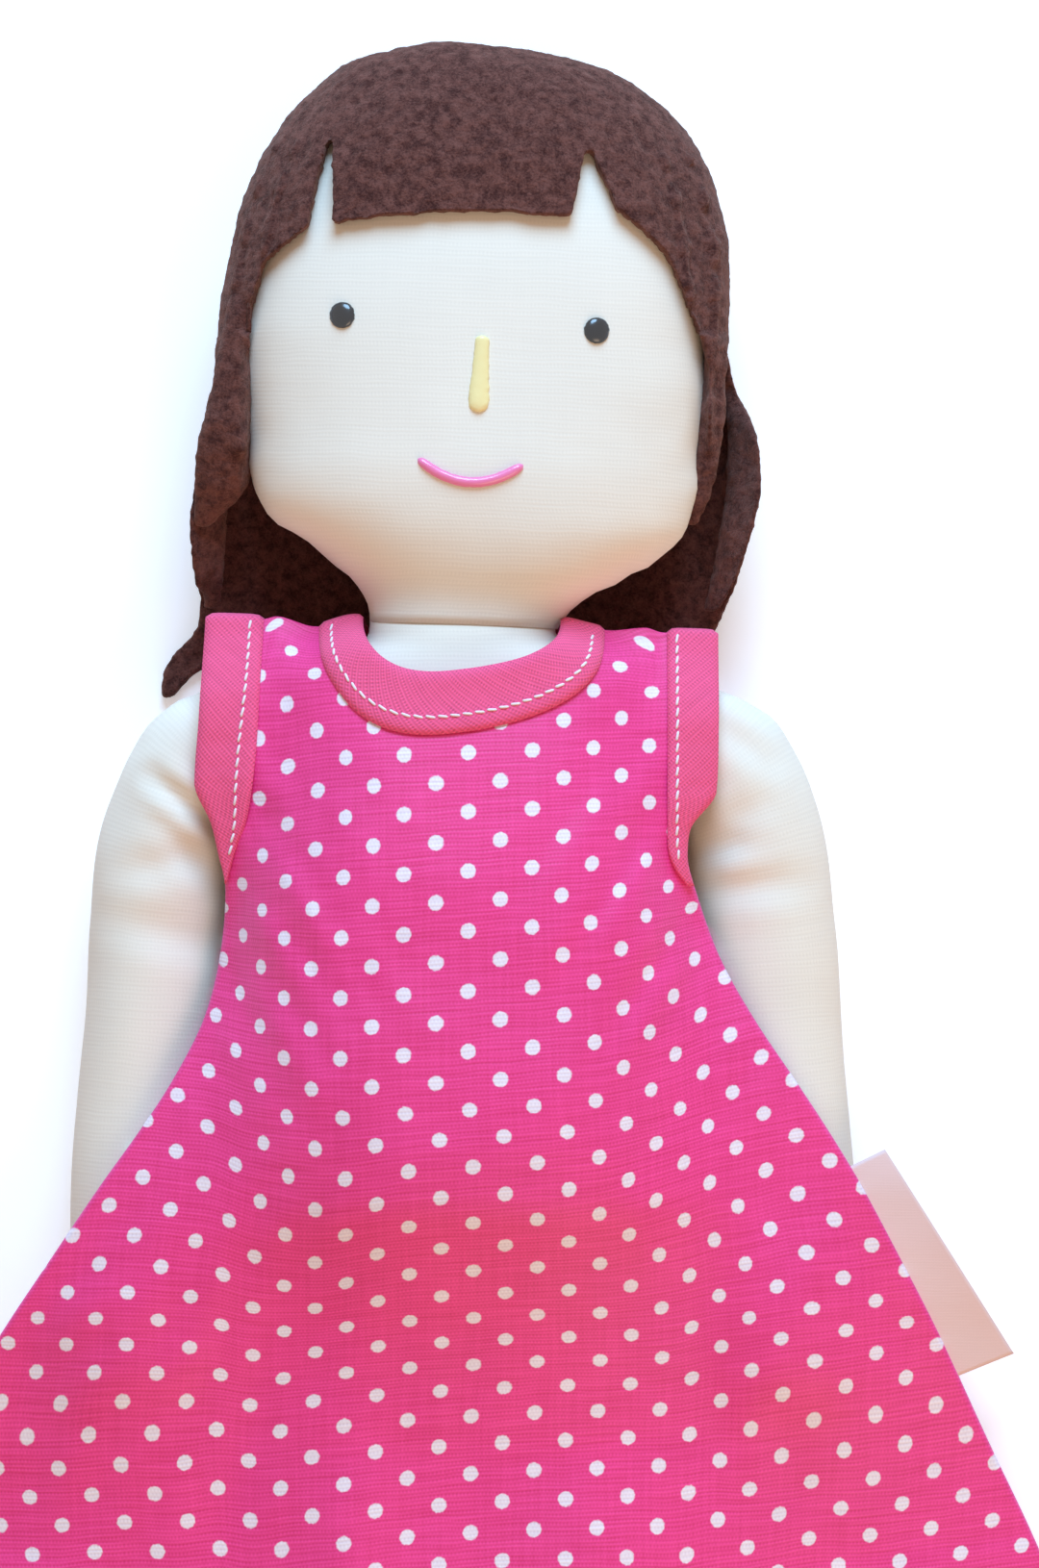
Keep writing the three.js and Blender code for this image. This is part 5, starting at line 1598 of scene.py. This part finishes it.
# %% Material helpers
def linear(hex_colour):
    """A colour as Blender counts it, from the usual six hex digits."""
    parts = [int(hex_colour[n:n + 2], 16) / 255 for n in (0, 2, 4)]
    return (*(c / 12.92 if c <= 0.04045 else ((c + 0.055) / 1.055) ** 2.4 for c in parts), 1.0)


def new_material(name, roughness):
    """A material, its node tree and its Principled shader."""
    material = bpy.data.materials.new(name)
    material.use_nodes = True
    tree = material.node_tree
    shader = tree.nodes["Principled BSDF"]
    shader.inputs["Roughness"].default_value = roughness
    return material, tree, shader


def cloth_vector(tree):
    """The UV map of a cloth, which counts in metres along it."""
    node = tree.nodes.new("ShaderNodeUVMap")
    node.uv_map = "cloth"
    return node.outputs["UV"]


def object_vector(tree):
    """The place in the piece's own space, in metres."""
    return tree.nodes.new("ShaderNodeTexCoord").outputs["Object"]


def set_inputs(node, **values):
    """Sets inputs of a node, whose names are written with _ in place of the spaces."""
    for name, value in values.items():
        node.inputs[name.replace("_", " ")].default_value = value


def use_group(tree, group, vector, **values):
    """A node that uses one of the shared groups, with its own values."""
    node = tree.nodes.new("ShaderNodeGroup")
    node.node_tree = group
    tree.links.new(vector, node.inputs["Vector"])
    set_inputs(node, **values)
    return node


def mixed(tree, factor, first, second):
    """A colour mix of two colours or sockets."""
    node = tree.nodes.new("ShaderNodeMix")
    node.data_type = "RGBA"
    for n, value in ((0, factor), (6, first), (7, second)):
        if isinstance(value, (tuple, float, int)):
            node.inputs[n].default_value = value
        else:
            tree.links.new(value, node.inputs[n])
    return node.outputs[2]


def toned(tree, colour, tone):
    """A colour made lighter or darker by a tone around 1."""
    node = tree.nodes.new("ShaderNodeVectorMath")
    node.operation = "SCALE"
    if isinstance(colour, tuple):
        node.inputs[0].default_value = colour[:3]
    else:
        tree.links.new(colour, node.inputs[0])
    tree.links.new(tone, node.inputs["Scale"])
    return node.outputs[0]


def bump(tree, shader, height, strength, distance):
    """Lets a height tilt the shader's normals."""
    node = tree.nodes.new("ShaderNodeBump")
    set_inputs(node, Strength=strength, Distance=distance)
    tree.links.new(height, node.inputs["Height"])
    tree.links.new(node.outputs["Normal"], shader.inputs["Normal"])


SKY = linear("b9d4ff")           # the tint of light that loose fibres send back


def turned(tree, vector, degrees):
    """A vector turned about z, for cloth that is cut on the bias."""
    node = tree.nodes.new("ShaderNodeVectorRotate")
    node.rotation_type = "Z_AXIS"
    node.inputs["Angle"].default_value = math.radians(degrees)
    tree.links.new(vector, node.inputs["Vector"])
    return node.outputs["Vector"]


def woven(name, colour, ribs, cross, slub, thread_shade_contrast, relief, roughness, sheen, bias=0):
    """A plain woven cloth. relief is the strength of its bump, bias its turn in degrees."""
    material, tree, shader = new_material(name, roughness)
    vector = turned(tree, cloth_vector(tree), bias)
    weave = use_group(tree, weave_group, vector, Ribs_per_metre=ribs, Cross_ribs=cross, Slub=slub)
    tone = use_group(tree, tone_group, vector, Amount=0.12)
    # Painted shade in the valleys between threads and light on their tops, plus real slub tone
    thread_shade_and_slub = in_range(tree, weave.outputs["Relief shade and slub"], 0.0, 1.0, 1 - thread_shade_contrast, 1 + thread_shade_contrast)
    both = maths(tree, "MULTIPLY", thread_shade_and_slub, tone.outputs["Tone"])
    tree.links.new(toned(tree, colour, both), shader.inputs["Base Color"])
    bump(tree, shader, weave.outputs["Height"], relief, 0.15 * MM)
    set_inputs(shader, Sheen_Weight=sheen, Sheen_Tint=SKY, Specular_IOR_Level=0.25)
    return material


# %% Cotton skin, binding and label
# Ribs per metre, cross ribs, slub, contrast of the painted thread shade, relief, roughness and
# sheen come after the colour
skin_cotton = woven("cream cotton", linear("ede6d6"), 1150.0, 0.6, 0.5, 0.04, 0.16, 0.85, 0.05)
binding_cotton = woven("salmon binding", linear("f05c88"), 1350.0, 0.9, 0.35, 0.3, 0.8, 0.85, 0.15,
                       bias=45)
placket_cotton = woven("plain pink cotton", linear("df377f"), 1150.0, 0.3, 0.4, 0.2, 0.5, 0.9, 0.2)
thread_cotton = woven("white thread", linear("f6ecec"), 3000.0, 0.3, 0.5, 0.08, 0.5, 0.7, 0.2)
label_satin = woven("label satin", linear("ecd0cd"), 3200.0, 0.2, 0.3, 0.05, 0.3, 0.45, 0.4)
plain_cloths = (skin_cotton, binding_cotton, placket_cotton, thread_cotton, label_satin)
print("plain cloths:", [cloth.name for cloth in plain_cloths])

# %% [markdown]
# ### The dotted cotton
# The print is a staggered grid of small pale dots. Folding the UV map into one cell and
# measuring the distance to its middle gives one set of dots, and the same fold shifted by
# half a cell gives the other.

# %% The dotted cotton
DOT_RADIUS = 1.57 * MM
DOT_PITCH_X = 13.2 * MM
DOT_PITCH_Y = 12.3 * MM
DOT_RAGGED = 0.22 * MM          # how far a dot's edge strays
DOT_SOFT = 0.16 * MM            # how far it fades out


def dot_distance(tree, vector, shift):
    """Distance to the middle of the nearest dot of one grid."""
    split = tree.nodes.new("ShaderNodeSeparateXYZ")
    tree.links.new(vector, split.inputs[0])
    squares = []
    for n, pitch in enumerate((DOT_PITCH_X, DOT_PITCH_Y)):
        along = maths(tree, "MULTIPLY_ADD", split.outputs[n], 1 / pitch, shift + 0.5)
        cell = maths(tree, "FRACT", along)
        offset = maths(tree, "MULTIPLY", maths(tree, "SUBTRACT", cell, 0.5), pitch)
        squares.append(maths(tree, "MULTIPLY", offset, offset))
    return maths(tree, "SQRT", maths(tree, "ADD", *squares))


def make_dotted_cotton():
    """The dress's pink cotton, printed with ragged pale dots that let the weave through."""
    material, tree, shader = new_material("dotted pink cotton", 0.6)
    vector = cloth_vector(tree)
    grids = [dot_distance(tree, vector, shift) for shift in (0.0, 0.5)]
    nearest = maths(tree, "MINIMUM", *grids)
    raggedness = noise_node(tree, vector, 1500.0, 1.0)
    ragged = in_range(tree, raggedness, 0.0, 1.0, -DOT_RAGGED, DOT_RAGGED)
    dots = in_range(tree, maths(tree, "ADD", nearest, ragged),
                    DOT_RADIUS - DOT_SOFT, DOT_RADIUS + DOT_SOFT, 1.0, 0.0)
    weave = use_group(tree, weave_group, vector, Ribs_per_metre=1170.0, Cross_ribs=0.2, Slub=0.8)
    tone = use_group(tree, tone_group, vector, Amount=0.14)
    # Painted shade: darker pink and greyer white in the thread valleys, lighter ones on their tops
    thread_shade_and_slub = in_range(tree, weave.outputs["Relief shade and slub"], 0.0, 1.0, 0.0, 1.0)
    pink = mixed(tree, thread_shade_and_slub, linear("d60f66"), linear("fd409a"))
    white = mixed(tree, thread_shade_and_slub, linear("e0d2de"), linear("fbf2f8"))
    print_colour = mixed(tree, dots, pink, white)
    tree.links.new(toned(tree, print_colour, tone.outputs["Tone"]), shader.inputs["Base Color"])
    bump(tree, shader, weave.outputs["Height"], 0.4, 0.15 * MM)
    set_inputs(shader, Sheen_Weight=0.3, Sheen_Tint=linear("c8b4ff"), Specular_IOR_Level=0.7)
    return material


dotted_cotton = make_dotted_cotton()
print("print:", dotted_cotton.name)

# %% [markdown]
# ### Fleece
# Fleece is knitted and brushed up, so it's all tufts of fibres. Two noises give the tufts and
# the fibres, which raise the hair's bump and colour it by the same height: darker in the low gaps
# between tufts, which is painted shade, and lighter on their tops, which is painted light. A
# strong sheen gives the fuzz.


# %% Fleece
def make_fleece():
    """The hair's dark brown fleece."""
    material, tree, shader = new_material("brown fleece", 1.0)
    vector = object_vector(tree)
    tufts = noise_node(tree, vector, 480.0, 3.0, 0.6)
    fibre = noise_node(tree, vector, 2100.0, 3.0, 0.7)
    height = maths(tree, "MULTIPLY_ADD", fibre, 0.45, maths(tree, "MULTIPLY", tufts, 0.55))
    # Painted shade: dark brown in the gaps between tufts, lighter brown on their tops, by height
    tuft_gap_shade = in_range(tree, height, 0.39, 0.61, 0.0, 1.0)
    colour = mixed(tree, tuft_gap_shade, linear("381a19"), linear("70463e"))
    tree.links.new(colour, shader.inputs["Base Color"])
    bump(tree, shader, height, 1.0, 0.7 * MM)
    set_inputs(shader, Sheen_Weight=0.45, Sheen_Roughness=0.6, Sheen_Tint=linear("b08f80"),
               Specular_IOR_Level=0.1)
    return material


fleece = make_fleece()
print("hair:", fleece.name)

# %% [markdown]
# ### Paint and nylon
# Fabric paint dries glossy, with small dents. A coat over a smooth base gives the gloss. The
# stud's moulded nylon is the same finish with hardly any coat.


# %% Paint and nylon
def make_paint(name, colour, roughness, coat):
    """A smooth finish with small dents and a coat."""
    material, tree, shader = new_material(name, roughness)
    vector = object_vector(tree)
    tone = use_group(tree, tone_group, vector, Amount=0.18)
    tree.links.new(toned(tree, colour, tone.outputs["Tone"]), shader.inputs["Base Color"])
    bump(tree, shader, noise_node(tree, vector, 700.0, 2.0), 0.25, 0.3 * MM)
    set_inputs(shader, Coat_Weight=coat, Coat_Roughness=0.12)
    return material


black_paint = make_paint("black paint", linear("131318"), 0.25, 0.6)
nose_yellow = make_paint("pale yellow paint", linear("f2e2a2"), 0.4, 0.2)
lip_pink = make_paint("pink paint", linear("ee7aac"), 0.3, 0.5)
nylon = make_paint("off-white nylon", linear("f0ece4"), 0.45, 0.1)
print("paints:", [paint.name for paint in (black_paint, nose_yellow, lip_pink, nylon)])

# %% [markdown]
# ## Putting the pieces on their bodies
# Every piece follows the body that carries it, except two. The long back hair lies on the head at
# its top and on the shoulders at its lower end, and the head's lower end is sewn to the neck, but
# neither follows a body here: their places are only baked into their meshes.


# %% Riding and materials
# Above the neck seam: where a piece would start to leave the head's turn, and where it would
# stay behind. Only whether they are given is read.
HAIR_BEND = (30 * MM, -8 * MM)
NECK_BEND = (14 * MM, 0.2 * MM)


def dress_piece(piece, material, body, nodes=(), stays_at=None):
    """Gives a piece its finish, and its body unless stays_at is given, when only its place is baked
    in.
    """
    piece.data.materials.clear()
    piece.data.materials.append(material)
    if nodes:
        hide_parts(*nodes)
    if stays_at is None:
        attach(piece, body)
    else:
        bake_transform(piece)


dress_piece(torso, skin_cotton, "dressed_torso", ["torso"])
for side, word in WORD.items():
    dress_piece(arms[side], skin_cotton, f"arm_{word}", [f"{word}_arm"])
    dress_piece(legs[side], skin_cotton, f"leg_{word}", [f"{word}_leg"])
    dress_piece(eyes[side], black_paint, "haired_head", [f"{word}_eye"])
    dress_piece(dress_backs[side], dotted_cotton, "dressed_torso",
                [f"dress_back_{word}"])
    dress_piece(armhole_bindings[side], binding_cotton, "dressed_torso",
                [f"{word}_armhole_binding"])
    for row in armhole_stitches[side]:
        dress_piece(row, thread_cotton, "dressed_torso")
for row in neck_stitches:
    dress_piece(row, thread_cotton, "dressed_torso")
dress_piece(nose, nose_yellow, "haired_head", ["nose"])
dress_piece(mouth, lip_pink, "haired_head", ["mouth"])
dress_piece(dress_front, dotted_cotton, "dressed_torso", ["dress_front"])
dress_piece(neck_binding, binding_cotton, "dressed_torso", ["neck_binding"])
dress_piece(label, label_satin, "dressed_torso", ["side_label"])
dress_piece(placket, placket_cotton, "dressed_torso", ["back_placket"])
dress_piece(snap_socket, nylon, "dressed_torso", ["snap_socket"])
dress_piece(snap_cap, nylon, "dressed_torso", ["snap_cap"])
dress_piece(hair_front, fleece, "haired_head", ["hair_front"])
dress_piece(hair_back, fleece, "haired_head", ["hair_back"], HAIR_BEND)
dress_piece(head, skin_cotton, "haired_head", ["head"], NECK_BEND)

print("sheets:", 5, "padded pieces:", 6)

# %% [markdown]
# ## Cloth and hair that give way
# The skirt isn't fixed to the legs, but a lifted leg lifts its front, and a leg that goes back
# presses its back down. An arm that goes up pushes the strap above it and the hair beside it
# towards the head, and the strap's front and back apart. Hooks draw the cloth near a limb along,
# with weights that fade out. Each follows the limb itself, or an empty axis that turns, moves
# and stretches with it only as far as limp cloth would.


# %% Hooks
HOOK_LEVELS = 50                # steps of weight, to keep the groups simple


def hook_to(piece, name, target, weight, pivot=(0, 0, 0)):
    """Lets a target draw the vertices of a piece along, by their weights."""
    group = piece.vertex_groups.new(name=name)
    levels = np.round(weight * HOOK_LEVELS).astype(int)
    for level in range(1, HOOK_LEVELS + 1):
        chosen = np.nonzero(levels == level)[0]
        if len(chosen):
            group.add(chosen.tolist(), level / HOOK_LEVELS, "REPLACE")
    hook = piece.modifiers.new(name, "HOOK")
    hook.object = target
    hook.vertex_group = group.name
    hook.matrix_inverse = Matrix.Translation(-Vector(pivot))
    hook.falloff_type = "NONE"


def empty_axis(name, pivot):
    """An Empty at a pivot, for hooks to follow."""
    axis = bpy.data.objects.new(name, None)
    scene.collection.objects.link(axis)
    axis.location = pivot
    return axis


def pressing_turn(word, pivot):
    """An axis that turns with a leg only while it goes back and presses on the cloth under it."""
    turn = empty_axis(f"pressing_turn_{word}", pivot)
    copy = turn.constraints.new("COPY_ROTATION")
    copy.target = frame["bodies"][f"leg_{word}"]
    limit = turn.constraints.new("LIMIT_ROTATION")
    limit.use_limit_x, limit.min_x, limit.max_x = True, 0, np.pi / 2
    return turn


ARM_SWING = np.radians(65)      # where the shift and the spread are full


def giving_turn(name, side, pivot, shift, spread):
    """An axis that an arm's turn moves towards the head and stretches in height."""
    turn = empty_axis(f"{name}_turn_{WORD[side]}", pivot)
    limits = sorted((0.0, side * ARM_SWING))
    for kind in ("LOCATION", "SCALE"):
        give = turn.constraints.new("TRANSFORM")
        give.target = frame["bodies"][f"arm_{WORD[side]}"]
        give.map_from, give.map_to = "ROTATION", kind
        give.from_min_z_rot, give.from_max_z_rot = limits
        if kind == "LOCATION":
            give.map_to_y_from = "Z"
            give.to_min_y, give.to_max_y = (shift, 0) if side < 0 else (0, shift)
        else:
            give.to_min_z_scale, give.to_max_z_scale = (spread, 1) if side < 0 else (1, spread)
    return turn


# %% [markdown]
# ### Straps and hair beside a raised arm
# The right strap has to give more, because it lies closer to its arm. A strap's weights rise
# outwards and upwards from its inner edge and its armhole, and the hair's outwards and down.

# %% Straps and hair beside a raised arm
STRAP_SHIFT = {-1: 8.5 * MM, 1: 13 * MM}
STRAP_SPREAD = {-1: 1.9, 1: 2.4}
HAIR_SHIFT = 14 * MM
SHOULDER_HEIGHT = 22 * MM
for side, word in WORD.items():
    pivot = (MIDDLE_X + side * SHOULDER_X, SEAM_Y - SHOULDER_DROP, SHOULDER_HEIGHT)
    strap_turn = giving_turn("strap", side, pivot, STRAP_SHIFT[side], STRAP_SPREAD[side])
    for piece in (dress_front, dress_backs[side], armhole_bindings[side], *armhole_stitches[side]):
        places = own_places(piece)
        outer = smooth_step(side * places[:, 0], 29 * MM, 44 * MM)
        upper = smooth_step(places[:, 1], -32 * MM, -11 * MM)
        hook_to(piece, f"strap_{word}", strap_turn, outer * upper, pivot)
    hair_turn = giving_turn("hair", side, pivot, HAIR_SHIFT, 1)
    places = own_places(hair_back)
    outer = smooth_step(side * places[:, 0], 36 * MM, 49 * MM)
    lower = 1 - smooth_step(places[:, 1], 8 * MM, 32 * MM)
    hook_to(hair_back, f"hair_{word}", hair_turn, outer * lower, pivot)
print("hooks on the long hair:", [kind.name for kind in hair_back.modifiers if kind.type == "HOOK"])

# %% [markdown]
# ### The skirt over a turned leg
# The skirt's front goes up with the leg like a tent. The back panels stay on the ground then,
# and only give downwards when the leg goes back.

# %% The skirt over a turned leg
HIP_HEIGHT = 11 * MM
for side, word in WORD.items():
    pivot = (MIDDLE_X + side * LEG_SPREAD, SEAM_Y - TORSO_LENGTH, HIP_HEIGHT)
    back_turn = pressing_turn(word, pivot)
    for piece in (dress_front, *dress_backs.values()):
        places = own_places(piece)
        beside = np.abs(places[:, 0] - side * LEG_SPREAD)
        over = 1 - smooth_step(beside, 16 * MM, 54 * MM)
        inner = smooth_step(side * places[:, 0], -16 * MM, 10 * MM)
        below = smooth_step(-places[:, 1], TORSO_LENGTH - 30 * MM, TORSO_LENGTH + 22 * MM)
        weight = over * inner * below
        if piece is dress_front:
            hook_to(piece, f"leg_{word}", frame["bodies"][f"leg_{word}"], weight)
        else:
            hook_to(piece, f"under_leg_{word}", back_turn, weight, pivot)

# %% [markdown]
# ## Light and ground
# The photograph is lit by a big soft window beyond the doll's head, which is cool like the sky,
# while the room gives back warm light from the right and from below. So what faces the crown
# looks almost white, and what faces the feet looks peach. The ground is white, and keeps the
# soft shadow that shows the doll lying on it.


# %% Lights
def add_area(name, place, target, size, power, colour):
    """A round lamp at a place, turned to its target."""
    data = bpy.data.lights.new(name, "AREA")
    data.shape, data.size, data.energy, data.color = "DISK", size, power, colour
    lamp = bpy.data.objects.new(name, data)
    scene.collection.objects.link(lamp)
    lamp.location = place
    lamp.rotation_euler = (Vector(target) - Vector(place)).to_track_quat("-Z", "Y").to_euler()
    return lamp


AIM = (0.0, 0.03, 0.03)
add_area("window", (0.06, 1.15, 0.72), AIM, 0.8, 25.5, (0.38, 0.67, 1.0))
add_area("room", (0.45, -0.9, 0.65), AIM, 0.9, 5.4, (1.0, 0.72, 0.5))

# %% [markdown]
# ### World and ground
# The camera and shiny things see a white world, while the world's light is dim and warm, as if
# from a room. The ground glows a little for the camera alone, which keeps it as white as in the
# photograph without another lamp.

# %% World and ground
WHITE = (1.0, 1.0, 1.0, 1.0)
ROOM_LIGHT = (0.47, 0.35, 0.28, 1.0)
world = bpy.data.worlds.new("soft daylight")
scene.world = world
world.use_nodes = True
tree = world.node_tree
background = tree.nodes["Background"]
paths = tree.nodes.new("ShaderNodeLightPath")
seen = maths(tree, "MAXIMUM", paths.outputs["Is Camera Ray"], paths.outputs["Is Glossy Ray"])
seen = maths(tree, "MAXIMUM", seen, paths.outputs["Is Transmission Ray"])
tree.links.new(mixed(tree, seen, ROOM_LIGHT, WHITE), background.inputs["Color"])

GROUND_REACH = 6.0
GROUND_GAP = 0.2 * MM           # the ground lies this little below the doll
ground_mesh = bpy.data.meshes.new("ground")
corners = [(x * GROUND_REACH, y * GROUND_REACH, -GROUND_GAP)
           for x, y in ((-1, -1), (1, -1), (1, 1), (-1, 1))]
ground_mesh.from_pydata(corners, [], [(0, 1, 2, 3)])
ground = bpy.data.objects.new("ground", ground_mesh)
scene.collection.objects.link(ground)
ground_material, tree, shader = new_material("white table", 0.8)
set_inputs(shader, Base_Color=(0.95, 0.95, 0.95, 1.0), Specular_IOR_Level=0.0)
glow = tree.nodes.new("ShaderNodeEmission")
paths = tree.nodes.new("ShaderNodeLightPath")
glow_strength = maths(tree, "MULTIPLY", paths.outputs["Is Camera Ray"], 0.3)
tree.links.new(glow_strength, glow.inputs["Strength"])
both = tree.nodes.new("ShaderNodeAddShader")
tree.links.new(shader.outputs[0], both.inputs[0])
tree.links.new(glow.outputs[0], both.inputs[1])
tree.links.new(both.outputs[0], tree.nodes["Material Output"].inputs["Surface"])
ground_mesh.materials.append(ground_material)

scene.view_settings.view_transform = "Standard"
print("ground:", ground.name)

# %% [markdown]
# ## The size
# The finished doll may stand a little proud of its solids, because cloth is fuller than they
# are, but it has to stay about their size.

# %% Finish
bpy.context.view_layer.update()
